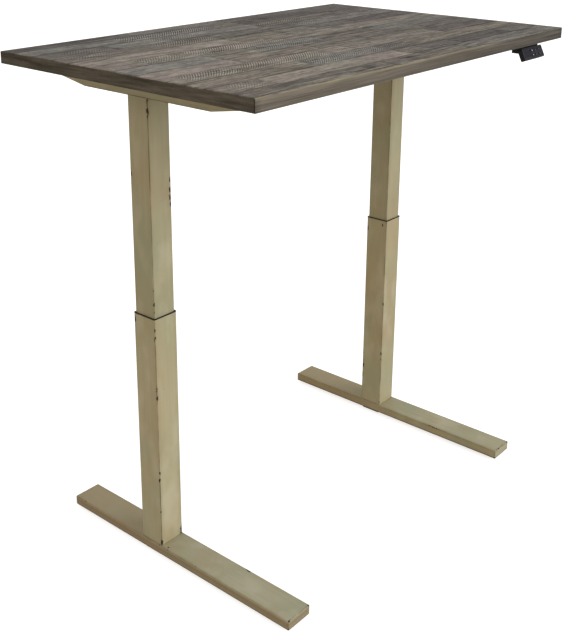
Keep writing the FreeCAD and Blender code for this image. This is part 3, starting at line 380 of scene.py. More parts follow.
def weathered_wood():
    """Grey brown planks: straight growth lines and fibres, cracks, stains, dark joints, and saw marks with
    painted shade in their valleys and painted highlight on their ridges.
    """
    finish = Finish("weathered_wood", Specular_IOR_Level=0.04)
    grain = finish.attribute("grain", "Vector")
    sway = finish.ramp(finish.cloud(grain, (5, 14, 1)), 0, 1, -GRAIN_SWAY * MM, GRAIN_SWAY * MM)
    grain = finish.vector("ADD", grain, finish.node("CombineXYZ", {"Y": sway})[0])
    broad = finish.cloud(grain, (2.5, 20, 1))
    band = finish.cloud(grain, (7, 90, 1), 3, 0.55)
    streak = finish.cloud(grain, (13, 190, 1), 3, 0.6)
    fibre = finish.cloud(grain, (50, 800, 1), 2, 0.6)
    stain = finish.cloud(grain, (17, 36, 1), 3, 0.6)
    mottle = finish.cloud(grain, (75, 100, 1), 4, 0.75)
    growth = finish.calc("SINE", finish.times(finish.cloud(grain, (2, 15, 1), 1), GROWTH_LINES))
    cracks = finish.ramp(finish.cloud(grain, (9, 120, 1), 3, 0.6), 0.61, 0.67)
    cast = finish.ramp(finish.cloud(grain, (6, 21, 2)), 0.38, 0.62)
    gathered = finish.ramp(finish.cloud(grain, (4, 28, 1)), 0.38, 0.62, 0.1, 0.9)
    seam = finish.ramp(finish.attribute("joint"), 0.6 * MM, 5 * MM, 1, 0)
    smudge = finish.times(finish.attribute("smudge"), finish.ramp(streak, 0.3, 0.7, 1.35, 0.65))
    lines = finish.ramp(band, 0.28, 0.72, -0.23, 0.23)
    lines = finish.calc("ADD", lines, finish.ramp(streak, 0.28, 0.72, -0.34, 0.34))
    lines = finish.calc("ADD", lines, finish.ramp(growth, -1, 1, -0.1, 0.1))
    figure = finish.times(lines, finish.attribute("figure"))

    cast = finish.blend(cast, WARM_CAST, COOL_CAST)
    colour = finish.shaded(
        finish.vector("MULTIPLY", finish.attribute("tint", "Color"), cast),
        (broad, 0.3, 0.7, 0.92, 1.1),
        (figure, -0.8, 0.8, 0.2, 1.8),
        (fibre, 0.25, 0.75, 0.72, 1.28),
        (mottle, 0.28, 0.72, 0.66, 1.36),
        (stain, 0.4, 0.72, 1.09, 0.78),
        (cracks, 0, 1, 1, 0.45),
        # Saw marks: painted shade in the valleys and painted highlight on the ridges, over the mesh's
        # shallow relief
        (finish.attribute("saw"), -1.2, 1.2, 0.06, 2.02),
        (finish.times(seam, gathered), 0, 1, 1, 0.4),
        (smudge, 0, 1, 1, 0.25),
    )
    relief = finish.calc("ADD", finish.times(streak, 0.6), finish.times(fibre, 0.4))
    relief = finish.calc("SUBTRACT", relief, finish.times(cracks, 0.5))
    return finish.wear(
        Base_Color=rubbed_pale(finish, colour, grain, (6, 60, 1)),
        Roughness=finish.ramp(streak, 0.3, 0.7, 0.82, 0.66),
        Normal=finish.bump(relief, 0.5 * MM, 0.7),
    )


def sawn_edge():
    """The long edges and the underside: brown stain in fine lines along the planks, darker at the corners,
    with painted shade that darkens them to the right and downwards, and the top corner rubbed pale."""
    finish = Finish("weathered_edge", Specular_IOR_Level=0.15)
    place = finish.place()
    lines = finish.cloud(place, (6, 200, 330), 4, 0.65)
    band = finish.cloud(place, (3, 50, 90), 2)
    along, _, height = finish.split(place)
    from_corner = finish.calc("SUBTRACT", CAD_HIGH.x, finish.calc("ABSOLUTE", along))
    # Painted shade: the tone darkens to the right as the light falls off, and downwards from the top edge
    colour = finish.shaded(
        finish.blend(finish.ramp(along, -0.5, 0.45), tone(114, 106, 94), tone(82, 77, 69)),
        (height, TOP_LOW, TOP_HIGH, 0.78, 1.14),
        (from_corner, 1 * MM, 20 * MM, 0.62, 1),
        (band, 0.3, 0.7, 0.76, 1.24),
        (lines, 0.3, 0.7, 0.66, 1.34),
    )
    return finish.wear(
        Base_Color=rubbed_pale(finish, colour, place, (6, 20, 20)),
        Roughness=finish.ramp(lines, 0.3, 0.7, 0.85, 0.7),
        Normal=finish.bump(lines, 0.4 * MM, 0.6),
    )


def end_grain():
    """The plank ends: dark stain in long streaks along the edge, darkest at the corners, and fine pits."""
    finish = Finish("weathered_end_grain", Specular_IOR_Level=0.08)
    place = finish.place()
    streak = finish.cloud(place, (1, 14, 260), 3, 0.6)
    band = finish.cloud(place, (1, 6, 70), 2)
    pits = finish.cloud(place, (1, 500, 700), 3, 0.6)
    from_corner = finish.calc("SUBTRACT", CAD_HIGH.y, finish.calc("ABSOLUTE", finish.split(place)["Y"]))
    colour = finish.shaded(
        finish.blend(finish.ramp(band, 0.35, 0.65), tone(74, 69, 60), tone(96, 90, 81)),
        (streak, 0.3, 0.7, 0.68, 1.3),
        (pits, 0.3, 0.7, 0.85, 1.15),
        (from_corner, 2 * MM, 4 * MM, 0.4, 1),
    )
    return finish.wear(
        Base_Color=colour,
        Roughness=finish.ramp(pits, 0.3, 0.7, 0.9, 0.75),
        Normal=finish.bump(pits, 0.3 * MM, 0.6),
    )


def edge_distance(finish, place, like, upright):
    """How far a point lies from the edges of a node's box.

    It is the middle one of the point's three distances from the box's faces, so it is nought along
    an edge and grows evenly away from it. On an upright piece only the four upright edges count,
    and there it is the larger of the distances from the side faces."""
    low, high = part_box(like)
    from_middle = finish.vector("ABSOLUTE", finish.vector("SUBTRACT", place, (low + high) / 2))
    a, b, c = finish.split(finish.vector("SUBTRACT", (high - low) / 2, from_middle))
    if upright:
        return finish.calc("MAXIMUM", a, b)
    nearest = finish.calc("MINIMUM", a, finish.calc("MINIMUM", b, c))
    farthest = finish.calc("MAXIMUM", a, finish.calc("MAXIMUM", b, c))
    total = finish.calc("ADD", a, finish.calc("ADD", b, c))
    return finish.calc("SUBTRACT", total, finish.calc("ADD", nearest, farthest))


def knocked(finish, place, crumble, knocks, shape):
    """Where the paint is knocked off: round each place a long drop shape with a straying, crumbled edge."""
    scaled = finish.node("Mapping", {"Vector": place, "Scale": KNOCK_LUMPS})[0]
    strays = finish.node("TexNoise", {"Vector": scaled, "Scale": 1.0, "Detail": 2.0})["Color"]
    strays = finish.dim(finish.vector("SUBTRACT", strays, (0.5, 0.5, 0.5)), KNOCK_STRAY * MM)
    place = finish.vector("ADD", place, strays)
    total = 0.0
    for *spot, reach in knocks:
        away = finish.vector("MULTIPLY", finish.vector("SUBTRACT", place, Vector(spot) * MM), shape)
        length = finish.node("VectorMath", {0: away}, operation="LENGTH")["Value"]
        ragged = finish.times(length, finish.ramp(crumble, 0.3, 0.7, 0.6, 1.5))
        hit = finish.ramp(ragged, KNOCK_CORE * reach * MM, reach * MM, 1, 0)
        total = finish.calc("MAXIMUM", total, hit)
    return total


def cream_paint(node, like, strokes, kind, level):
    """Cream glaze in long brush strokes over dark steel, rubbed brown and chipped through along the edges.

    A post shows its upright edges only, and the outer ones a band of painted shade where they stand on the
    foot.
    A foot has painted light that makes its upper face paler, is browner to the back, and has painted shade
    down its sides and a painted shadow along its lower edge."""
    finish = Finish("cream_paint_" + node, Specular_IOR_Level=0.25)
    place = finish.place()
    edge = edge_distance(finish, place, like, kind == "post")
    _, depth, height = finish.split(place)
    brushed = finish.cloud(place, strokes, 3, 0.6)
    patches = finish.cloud(place, (7, 7, 4), 3)
    tinted = finish.cloud(place, (10, 10, 5), 3)
    bleached = finish.cloud(place, (16, 16, 8), 3)
    crumble = finish.cloud(place, 420, 3, 0.6)
    wander = finish.cloud(place, 62, 2)
    worn = finish.cloud(place, 14, 3)
    cluster = finish.ramp(finish.cloud(place, 5, 2), 0.58, 0.74)
    reach = finish.times(finish.ramp(wander, 0.52, 0.74, 0, CHIP_REACH * MM), cluster)
    reach = finish.times(reach, finish.ramp(crumble, 0.3, 0.7, 0.3, 1.4))
    chip = finish.ramp(finish.calc("SUBTRACT", edge, reach), -0.4 * MM, 0.3 * MM, 1, 0)
    flecks = finish.ramp(finish.cloud(place, 240, 2), 0.77, 0.79)
    bare = finish.calc("MAXIMUM", chip, flecks)
    if node in KNOCKS:
        shape = KNOCK_UPRIGHT if kind == "post" else KNOCK_FLAT
        bare = finish.calc("MAXIMUM", bare, knocked(finish, place, crumble, KNOCKS[node], shape))
    line = finish.ramp(edge, 1.4 * MM, 2.3 * MM, 1, 0)
    line = finish.times(line, finish.ramp(worn, 0.36, 0.6, 0.2, 0.9))
    glazed = finish.ramp(edge, 2 * MM, 12 * MM, 1, 0)
    glazed = finish.times(glazed, finish.ramp(worn, 0.35, 0.65, 0.05, 0.34))

    colour = finish.blend(finish.ramp(brushed, 0.3, 0.7), tone(168, 158, 125), tone(175, 165, 132))
    colour = finish.blend(finish.ramp(patches, 0.42, 0.64, 0, 0.75), colour, tone(155, 153, 120))
    colour = finish.blend(finish.ramp(tinted, 0.46, 0.68, 0, 0.6), colour, tone(165, 146, 110))
    colour = finish.blend(finish.ramp(bleached, 0.5, 0.72, 0, 0.65), colour, tone(188, 179, 150))
    colour = finish.dim(colour, level)
    if kind == "foot":
        side, piece = node.split("_", 1)
        rubbed = finish.ramp(depth, -0.05, 0.14, 0.1, 0.9)
        rubbed = finish.times(rubbed, finish.ramp(tinted, 0.35, 0.65, 0.8, 1))
        colour = finish.blend(rubbed, colour, tone(153, 134, 98))
        # Painted light: the upper face is made paler and cooler, as light from above would leave it
        upper = finish.ramp(height, 29 * MM, 31.8 * MM)
        tint = finish.blend(upper, (1, 1, 1, 1), UPPER_FACE_LIGHT[side])
        colour = finish.vector("MULTIPLY", colour, tint)
        line = finish.times(line, finish.ramp(height, 24 * MM, 30 * MM, 1, UPPER_LINE[piece]))
        # Painted shadow: a dark line along the lower edge of the sides
        line = finish.calc("MAXIMUM", line, finish.ramp(height, 8.5 * MM, 13 * MM, 1, 0))
        # Painted shade: the sides are darkened brown below the upper face, more on the left foot than the
        # right
        lower = finish.ramp(height, 24 * MM, 30 * MM, SIDE_SHADE[side], 0)
        lower = finish.times(lower, finish.ramp(height, 12 * MM, 24 * MM, 0.55, 1))
        colour = finish.blend(lower, colour, tone(126, 105, 72))
    colour = finish.blend(glazed, colour, tone(133, 121, 88))
    colour = finish.blend(line, colour, tone(88, 75, 50))
    if "outer_column" in node:
        # Painted shade: a dark band at the foot of the outer column, in the crease where it stands on the
        # foot
        contact_shade = finish.ramp(height, 32.6 * MM, 34.5 * MM, 0.6, 0)
        colour = finish.blend(contact_shade, colour, tone(88, 72, 46))
    colour = finish.blend(bare, colour, tone(40, 30, 20))
    relief = finish.calc("SUBTRACT", finish.times(brushed, 0.25), bare)
    gloss = finish.ramp(brushed, 0.3, 0.7, 0.55, 0.45)
    return finish.wear(
        Base_Color=colour,
        Roughness=finish.calc("ADD", gloss, finish.times(bare, 0.3)),
        Normal=finish.bump(relief, 0.4 * MM, 0.6),
    )


def moulded(name, colour, dusty, rough, grain=2600, **constants):
    """Moulded plastic or rubber: a fine even grain, a little dust, and rough and smooth places."""
    finish = Finish(name, **constants)
    place = finish.place()
    pebble = finish.cloud(place, grain, 2)
    dust = finish.cloud(place, 28, 3)
    shade = finish.blend(finish.ramp(dust, 0.4, 0.75, 0, 0.7), tone(*colour), tone(*dusty))
    return finish.wear(
        Base_Color=finish.shaded(shade, (pebble, 0.3, 0.7, 0.85, 1.15)),
        Roughness=finish.ramp(dust, 0.3, 0.7, rough - 0.06, rough + 0.08),
        Normal=finish.bump(pebble, 0.05 * MM, 0.5),
    )


def worked_metal(name, colour, stained, rough, lines):
    """Plated, blacked or cast metal: tool lines one way, cloudy plating, and dull places."""
    finish = Finish(name, Metallic=1.0)
    place = finish.place()
    drawn = finish.cloud(place, lines, 3, 0.6)
    clouds = finish.cloud(place, 45, 3)
    shade = finish.blend(finish.ramp(clouds, 0.4, 0.7), tone(*colour), tone(*stained))
    return finish.wear(
        Base_Color=finish.shaded(shade, (drawn, 0.3, 0.7, 0.85, 1.12)),
        Roughness=finish.ramp(clouds, 0.3, 0.7, rough - 0.07, rough + 0.1),
        Normal=finish.bump(drawn, 0.06 * MM, 0.5),
    )


def circuit_board():
    """Green lacquered board with the copper lines and islands showing paler under the lacquer."""
    finish = Finish("circuit_board", Coat_Weight=0.4)
    place = finish.place()
    inputs = {"Vector": place, "Scale": 180.0}
    cells = finish.node("TexVoronoi", inputs, feature="DISTANCE_TO_EDGE")["Distance"]
    tracks = finish.ramp(cells, 0.06, 0.1, 1, 0)
    weave = finish.cloud(place, 900, 2)
    shade = finish.blend(tracks, tone(22, 64, 38), tone(58, 110, 66))
    return finish.wear(
        Base_Color=finish.shaded(shade, (weave, 0.3, 0.7, 0.85, 1.15)),
        Roughness=finish.ramp(weave, 0.3, 0.7, 0.3, 0.45),
        Normal=finish.bump(tracks, 0.04 * MM, 0.6),
    )


def smoked_glass():
    """The handset's dark window: smooth, with a trace of finger smears in its gloss."""
    finish = Finish("smoked_glass", Specular_IOR_Level=0.06)
    place = finish.place()
    smears = finish.cloud(place, (90, 240, 90), 3)
    shade = finish.blend(finish.ramp(smears, 0.4, 0.7, 0, 0.6), tone(20, 19, 29), tone(28, 27, 38))
    return finish.wear(Base_Color=shade, Roughness=finish.ramp(smears, 0.35, 0.7, 0.08, 0.22))


def key_print(name, fresh, rubbed):
    """Pale print on a key, a little worn."""
    finish = Finish(name)
    wear = finish.cloud(finish.place(), 700, 3)
    shade = finish.blend(finish.ramp(wear, 0.35, 0.75), tone(*fresh), tone(*rubbed))
    return finish.wear(Base_Color=shade, Roughness=finish.ramp(wear, 0.3, 0.7, 0.45, 0.6))


def set_piece(name, mesh, body):
    """A mesh as a piece at the origin, riding on its body."""
    piece = bpy.data.objects.new(name, mesh)
    bpy.context.scene.collection.objects.link(piece)
    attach(piece, body)
    return piece


def new_piece(name, points, faces, materials, body, crease=0):
    """A piece from arrays of points and of faces, smooth up to its crease angle, or flat without one."""
    mesh = bpy.data.meshes.new(name)
    mesh.from_pydata(points, [], [face for part in faces for face in part.tolist()])
    for material in materials:
        mesh.materials.append(material)
    if crease:
        mesh.shade_smooth()
        mesh.set_sharp_from_angle(angle=math.radians(crease))
    else:
        mesh.shade_flat()
    return set_piece(name, mesh, body)


def tube_faces(rings, around):
    """Quads between neighbouring rings of points, closed round each ring, all as one array."""
    ring, step = np.meshgrid(np.arange(rings - 1), np.arange(around), indexing="ij")
    after = (step + 1) % around
    corners = (ring * around + step, ring * around + after,
               (ring + 1) * around + after, (ring + 1) * around + step)
    return np.stack(corners, -1).reshape(-1, 4)


def end_caps(rings, around):
    """Triangles from the first and the last ring to their middle points, which follow all the rings."""
    step = np.arange(around)
    after = (step + 1) % around
    last = rings * around
    first_fan = np.stack((after, step, np.full(around, last)), -1)
    last_fan = np.stack((np.full(around, last + 1), step + last - around, after + last - around), -1)
    return np.concatenate((first_fan, last_fan))


def wavering(where, waves, rng):
    """Smooth random wave from about -1 to 1: sines of the given lengths with random starts."""
    lengths = np.array(waves)
    starts = rng.uniform(0, 2 * np.pi, len(lengths))
    return np.sin(2 * np.pi * where[..., None] / lengths + starts).mean(-1) * WAVE_GAIN


def steps_between(start, end, step):
    """Evenly spaced values from start to end, about a step apart."""
    return np.linspace(start, end, max(2, math.ceil(abs(end - start) / step) + 1))


def joined(shapes):
    """Several shapes as one: all their points, and their skins and caps renumbered to match."""
    starts = np.cumsum([0] + [len(points) for points, _, _ in shapes])
    skin = np.concatenate([shape[1] + start for shape, start in zip(shapes, starts)])
    caps = np.concatenate([shape[2] + start for shape, start in zip(shapes, starts)])
    return np.concatenate([shape[0] for shape in shapes]), (skin, caps)


def smudged(x, y):
    """Dark stains on the top: round each middle a soft oval, deepest there, the darkest one counting."""
    total = np.zeros_like(x)
    for spot_x, spot_y, length, width, depth in SMUDGES:
        away = ((x - spot_x) / length) ** 2 + ((y - spot_y) / width) ** 2
        total = np.maximum(total, depth * np.exp(-SMUDGE_FALL * away))
    return total


def saw_marks(along, across, marks, width, rng):
    """Arcs left by a round blade, from -1 in a valley to 1 on a ridge, and 0 outside their stretches.

    Each mark is a circle of the blade's radius whose middle lies so far to one side of the stave that
    the arc leans as it should. The marks follow each other along the stave at a steady pitch, come and
    go in patches, and fade towards the joints."""
    waver = wavering(along, SAW_WAVES, rng) * SAW_WAVER
    patchy = PATCH_LEVEL
    for lean, waves in PATCH_LEANS:
        patchy = patchy + PATCH_SWING * wavering(along + lean * across, waves, rng)
    from_joint = (width / 2 - np.abs(across)) / SAW_MARGIN + SAW_AT_JOINT
    patchy = np.clip(patchy, PATCH_LEAST, 1) * np.clip(from_joint, 0, 1)
    total = np.zeros_like(along)
    for start, end, strength, lean in marks:
        offset = SAW_RADIUS * lean / math.hypot(1, lean)
        arc = np.sqrt(SAW_RADIUS ** 2 - (across - offset) ** 2)
        wave = np.sin(2 * np.pi * (along - arc) / SAW_PITCH + waver)
        wave = np.sign(wave) * np.abs(wave) ** SAW_ROUNDNESS
        inside = np.minimum(along - start, end - along) / SAW_FADE + 0.5
        total = total + wave * strength * np.clip(inside, 0, 1)
    return total * patchy


def stave(row_back, row_front, left, right, marks, ends_open, sides_open, rng):
    """One stave: its cross-section carried along X, closed at both ends.

    The section runs over the top from back to front, down the front, under and up the back. The
    top is lowered by shallow grooves along the grain and by the saw marks, every top edge is eased,
    and the ends are drawn in by the same easing. Gives its shape and what the wood shows at each point."""
    top_height = TOP_HIGH / MM
    thick = (TOP_HIGH - TOP_LOW) / MM
    left_break, right_break, back_break, front_break = (
        OUTER_BREAK if is_open else JOINT_BREAK for is_open in (*ends_open, *sides_open)
    )
    inner = steps_between(left + left_break, right - right_break, PLAIN_STEP)
    sawn = [steps_between(max(mark[0], inner[0]), min(mark[1], inner[-1]), SAWN_STEP) for mark in marks]
    between = np.unique(np.round(np.concatenate((inner, *sawn)), 1))
    along = np.concatenate(([left], between, [right]))
    top = steps_between(row_back, row_front, ACROSS_STEP)
    side = steps_between(0, -thick, thick / EDGE_SAMPLES)[1:]
    across = np.concatenate((top, np.full(len(side), row_front), np.full(len(side), row_back)))
    height = np.concatenate((np.zeros(len(top)), side, side[::-1]))
    is_top = np.arange(len(across)) < len(top)
    girth = np.concatenate(([0], np.cumsum(np.hypot(np.diff(across), np.diff(height)))))

    x, y = np.meshgrid(along, across, indexing="ij")
    middle = (row_back + row_front) / 2
    width = row_back - row_front
    saw = saw_marks(x, y - middle, marks, width, rng) * is_top
    grooves = wavering(y + wavering(x, GROOVE_WANDER, rng), GROOVE_WAVES, rng)
    grooves = grooves * (GROOVE_LEVEL + GROOVE_SWING * wavering(x, GROOVE_PATCHES, rng))
    lowered = GROOVE_DEPTH * (1 + np.clip(grooves, -1, 1)) / 2
    lowered = lowered + 2 * SAW_DEPTH * np.clip(-saw, 0, 1)
    lowered = lowered + rng.uniform(0, STAVE_DROP)
    for distance, size in (
        (row_back - y, back_break), (y - row_front, front_break),
        (x - left, left_break), (right - x, right_break),
    ):
        near = np.clip(1 - distance / size, 0, 1)
        lowered = np.maximum(lowered, size * (1 - np.sqrt(1 - near ** 2)))
    z = np.where(is_top, height - lowered, height) + top_height
    rings, around = x.shape
    ends = np.array([[end, middle, top_height - thick / 2] for end in (left, right)])
    points = np.concatenate((np.stack((x, y, z), -1).reshape(-1, 3), ends)) * MM
    seed = rng.uniform(0, GRAIN_SPREAD)
    grain = np.stack((x * MM, np.broadcast_to(girth * MM, x.shape), np.full(x.shape, seed)), -1)
    past_front = np.abs(girth - width) if sides_open[1] else np.full(around, width)
    past_back = np.minimum(girth, girth[-1] - girth) if sides_open[0] else np.full(around, width)
    arris = np.clip(1 - np.minimum(past_front, past_back) / ARRIS_REACH, 0, 1)
    ways = [x - left, right - x]
    if not sides_open[0]:
        ways.append(row_back - y)
    if not sides_open[1]:
        ways.append(y - row_front)
    over_top = np.where(np.arange(around) < len(top) - 1, TOP_WOOD, EDGE_WOOD)
    at_ends = (0, 0)
    return {
        "shape": (points, tube_faces(rings, around), end_caps(rings, around)),
        "finish": np.tile(over_top, rings - 1),
        "grain": np.concatenate((grain.reshape(-1, 3), np.zeros((2, 3)))),
        "saw": np.append(saw, at_ends),
        "joint": np.append(np.minimum.reduce(ways) * MM, at_ends),
        "arris": np.append(np.tile(arris, rings), at_ends),
        "smudge": np.append(smudged(x, y), at_ends),
    }


def plank_row(number, materials):
    """One row of staves, end to end, as one piece that carries each stave's grain, tint and saw marks."""
    rng = np.random.default_rng(STAVE_SEED + number)
    row_back, row_front = ROW_EDGES[number], ROW_EDGES[number + 1]
    sides_open = (number == 0, number == len(STAVES) - 1)
    left_end, right_end = CAD_LOW.x / MM, CAD_HIGH.x / MM
    left = left_end
    staves = []
    for end, wood, figure, *marks in STAVES[number]:
        right = min(end, right_end)
        ends_open = (left == left_end, right == right_end)
        start = left if ends_open[0] else left + BUTT_GAP / 2
        stop = right if ends_open[1] else right - BUTT_GAP / 2
        made = stave(row_back, row_front, start, stop, marks, ends_open, sides_open, rng)
        shade = np.array(tone(*WOOD_TONES[wood])) * rng.uniform(*TINT_RANGE)
        count = len(made["shape"][0])
        made["tint"] = np.tile(shade, (count, 1))
        made["figure"] = np.full(count, figure)
        staves.append(made)
        left = right
    points, faces = joined([made.pop("shape") for made in staves])
    whole = {field: np.concatenate([made[field] for made in staves]) for field in staves[0]}
    row = new_piece(f"plank_row_{number + 1:02d}", points, faces, materials,
                    "lifting_frame", PLANK_CREASE)
    mesh = row.data
    mesh.attributes.new("grain", "FLOAT_VECTOR", "POINT").data.foreach_set("vector", whole["grain"].ravel())
    mesh.attributes.new("tint", "FLOAT_COLOR", "POINT").data.foreach_set("color", whole["tint"].ravel())
    for name in NUMBERS:
        mesh.attributes.new(name, "FLOAT", "POINT").data.foreach_set("value", whole[name])
    finishes = np.append(whole["finish"], np.full(len(faces[1]), END_WOOD)).astype(np.int32)
    mesh.polygons.foreach_set("material_index", finishes)
    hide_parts("desktop")


def cross_recess():
    """The spokes of a cross recess, how far along the head's radius each reaches, and how the floor tapers.

    A spoke reaches the end of an arm or its flank, whichever is nearer, and one stands at each corner."""
    corner = math.atan2(CROSS_ARM, CROSS_REACH)
    half = np.concatenate(([0], np.linspace(corner, np.pi / 4, FLANK_SPOKES)[:-1]))
    quarter = np.concatenate((half, [np.pi / 4], np.pi / 2 - half[:0:-1]))
    spokes = (quarter + np.arange(4)[:, None] * np.pi / 2).ravel()
    from_arm = np.abs((spokes + np.pi / 4) % (np.pi / 2) - np.pi / 4)
    flank = CROSS_ARM / np.sin(np.maximum(from_arm, corner))
    return spokes, np.minimum(CROSS_REACH / np.cos(from_arm), flank), CROSS_TAPER


def hexagon_socket():
    """The spokes of a hexagon socket and how far each reaches: the flat's distance over the cosine of the
    angle from the middle of the flat."""
    spokes = np.arange(SOCKET_SPOKES) * 2 * np.pi / SOCKET_SPOKES
    from_flat = spokes % (np.pi / 3) - np.pi / 6
    return spokes, HEX_FLAT / np.cos(from_flat), HEX_TAPER


def fastener(recess, thread, head, thick, shank, length):
    """One screw or bolt about its own axis, in millimetres, with its crown at depth nought.

    Its rings of points run from the floor of the recess to its mouth, over the crown, down the head's
    side, along its seat and down the shank. The crown is a quarter of an oval, so it falls away from
    the axis. The thread is a sine along a helix, one turn to each pitch, that dies out at both ends,
    and the tip narrows evenly."""
    spokes, mouth, taper = recess
    whole = np.ones(len(spokes))
    spread = np.sin(np.linspace(0, np.pi / 2, CROWN_RINGS))[:, None]
    crown = mouth * (1 - spread) + spread
    fall = CROWN_FALL * thick * (1 - np.sqrt(np.clip(1 - crown ** 2, 0, 1)))
    start = max(thick, length - thread["length"])
    turns = steps_between(start, length, thread["pitch"] / RINGS_PER_TURN)
    down = np.unique(np.append(turns, thick))[:, None] * whole
    wave = helix(down, spokes, thread["pitch"]) * fading(down, start, length, thread["pitch"])
    narrow = np.interp(length - down, (0, thread["tip"]), (thread["point"], 1))
    threaded = (shank - thread["depth"] * wave) * narrow
    radius = np.vstack((head * mouth * taper, head * crown, head * whole, threaded))
    depth = np.vstack((RECESS_DEPTH * thick * whole, fall, thick * whole, down))
    return turned(radius, depth, spokes)


def helix(height, spokes, pitch):
    """A wave from 0 to 1 round an axis that climbs by one pitch in each turn."""
    return (1 + np.cos(2 * np.pi * height / pitch - spokes)) / 2


def fading(height, start, stop, length):
    """A share that is 1 between two heights and dies out over a length towards both."""
    return np.clip(np.minimum(height - start, stop - height) / length, 0, 1)


def turned(radius, height, spokes):
    """A closed piece from rings of points, each given by its distance from the axis at every spoke and its
    height, with the first and the last ring closed to the axis. Gives points, skin and caps."""
    skin = np.stack((radius * np.cos(spokes), radius * np.sin(spokes), height), -1)
    middles = np.array(((0, 0, height[0, 0]), (0, 0, height[-1, 0])))
    points = np.concatenate((skin.reshape(-1, 3), middles))
    return points, tube_faces(*radius.shape), end_caps(*radius.shape)


def node_points(node):
    """The corners of a node's mesh, in millimetres."""
    mesh = NODES[node].data
    points = np.empty(3 * len(mesh.vertices), np.float32)
    mesh.vertices.foreach_get("co", points)
    return points.reshape(-1, 3) / MM


def outline(node):
    """The foot of a turned node's axis, its heights above that, and the radii there, wider ones first."""
    points = node_points(node)
    foot = (points.min(0) + points.max(0)) / 2
    foot[2] = points[:, 2].min()
    points = points - foot
    rows = np.stack((points[:, 2], -np.hypot(points[:, 0], points[:, 1])), -1)
    rows = np.unique(np.round(rows / SAME_PLACE), axis=0) * SAME_PLACE
    return foot, rows[:, 0], -rows[:, 1]


def thread_rings(node, step):
    """The rings of a turned node, with its longest stretch cut into steps for a thread.

    Gives the foot of its axis, the height and the radius of each ring, and where the stretch starts and
    stops."""
    foot, heights, radii = outline(node)
    longest = np.argmax(np.diff(heights))
    start, stop = heights[longest], heights[longest + 1]
    climb = steps_between(start, stop, step)
    height = np.concatenate((heights[:longest], climb, heights[longest + 2:]))
    even = np.full(len(climb), radii[longest])
    radius = np.concatenate((radii[:longest], even, radii[longest + 2:]))
    return foot, height[:, None], radius[:, None], start, stop


def lift_screw(side):
    """A spindle with its thread, from the plain node's outline.

    Along the longest stretch the spokes turn with the height, one turn to each lead, so each one runs
    along a ridge or a groove, and the radius falls to the root in the grooves. The thread dies out over
    one pitch at both ends."""
    node = f"{side}_spindle"
    foot, height, radius, start, stop = thread_rings(node, LEAD / RINGS_PER_LEAD)
    corners = (np.arange(STARTS)[:, None] + THREAD_CORNERS).ravel() * 2 * np.pi / STARTS
    spokes = corners + 2 * np.pi * np.clip(height, start, stop) / LEAD
    fade = fading(height, start, stop, LEAD / STARTS)
    radius = radius - LEAD_DEPTH * fade * np.tile(THREAD_ROOT, STARTS)
    points, *faces = turned(radius, height + np.zeros_like(spokes), spokes)
    piece = new_piece(f"{side}_lift_screw", (points + foot) * MM, faces,
                      [FINISHES["zinc_steel"]], node, LEAD_CREASE)
    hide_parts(node)


def levelling_foot(node):
    """A levelling foot with a fluted pad and a threaded steel stem, from the plain node's outline.

    Round the pad the radius dips in even waves. Along the longest stretch, the stem, it dips along a
    helix, one turn to each pitch, and the thread dies out over one pitch at both ends."""
    pitch = STEM_THREAD["pitch"]
    foot, height, radius, start, stop = thread_rings(node, pitch / RINGS_PER_TURN)
    spokes = np.arange(FLUTES * SPOKES_PER_FLUTE) * 2 * np.pi / (FLUTES * SPOKES_PER_FLUTE)
    thread = STEM_THREAD["depth"] * fading(height, start, stop, pitch) * helix(height, spokes, pitch)
    flutes = FLUTE_DEPTH * (1 + np.cos(FLUTES * spokes)) / 2
    dips = np.where(height < start, flutes, thread)
    points, *faces = turned(radius - dips, height + np.zeros_like(spokes), spokes)
    piece = new_piece(f"{node}_fluted", (points + foot) * MM, faces,
                      [FINISHES["pad_rubber"], FINISHES["zinc_steel"]], node, SCREW_CREASE)
    lower_ends = np.concatenate((height[:-1], height[[0, -1]])).repeat(len(spokes))
    piece.data.polygons.foreach_set("material_index", (lower_ends >= start).astype(np.int32))
    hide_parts(node)


def solids(node):
    """The points of each separate solid of a node, in millimetres.

    Points at one place count as one, and each has a number. Along every edge the lower number is handed
    on until nothing changes, which leaves one number to each solid."""
    points = node_points(node)
    mesh = NODES[node].data
    edges = np.empty(2 * len(mesh.edges), np.int32)
    mesh.edges.foreach_get("vertices", edges)
    same = np.unique(np.round(points / SAME_PLACE), axis=0, return_inverse=True)[1].ravel()
    edges = same[edges].reshape(-1, 2)
    number = np.arange(same.max() + 1)
    changed = True
    while changed:
        lower = number.copy()
        np.minimum.at(lower, edges[:, 0], number[edges[:, 1]])
        np.minimum.at(lower, edges[:, 1], number[edges[:, 0]])
        changed = (lower != number).any()
        number = lower
    return [points[number[same] == solid] for solid in np.unique(number)]


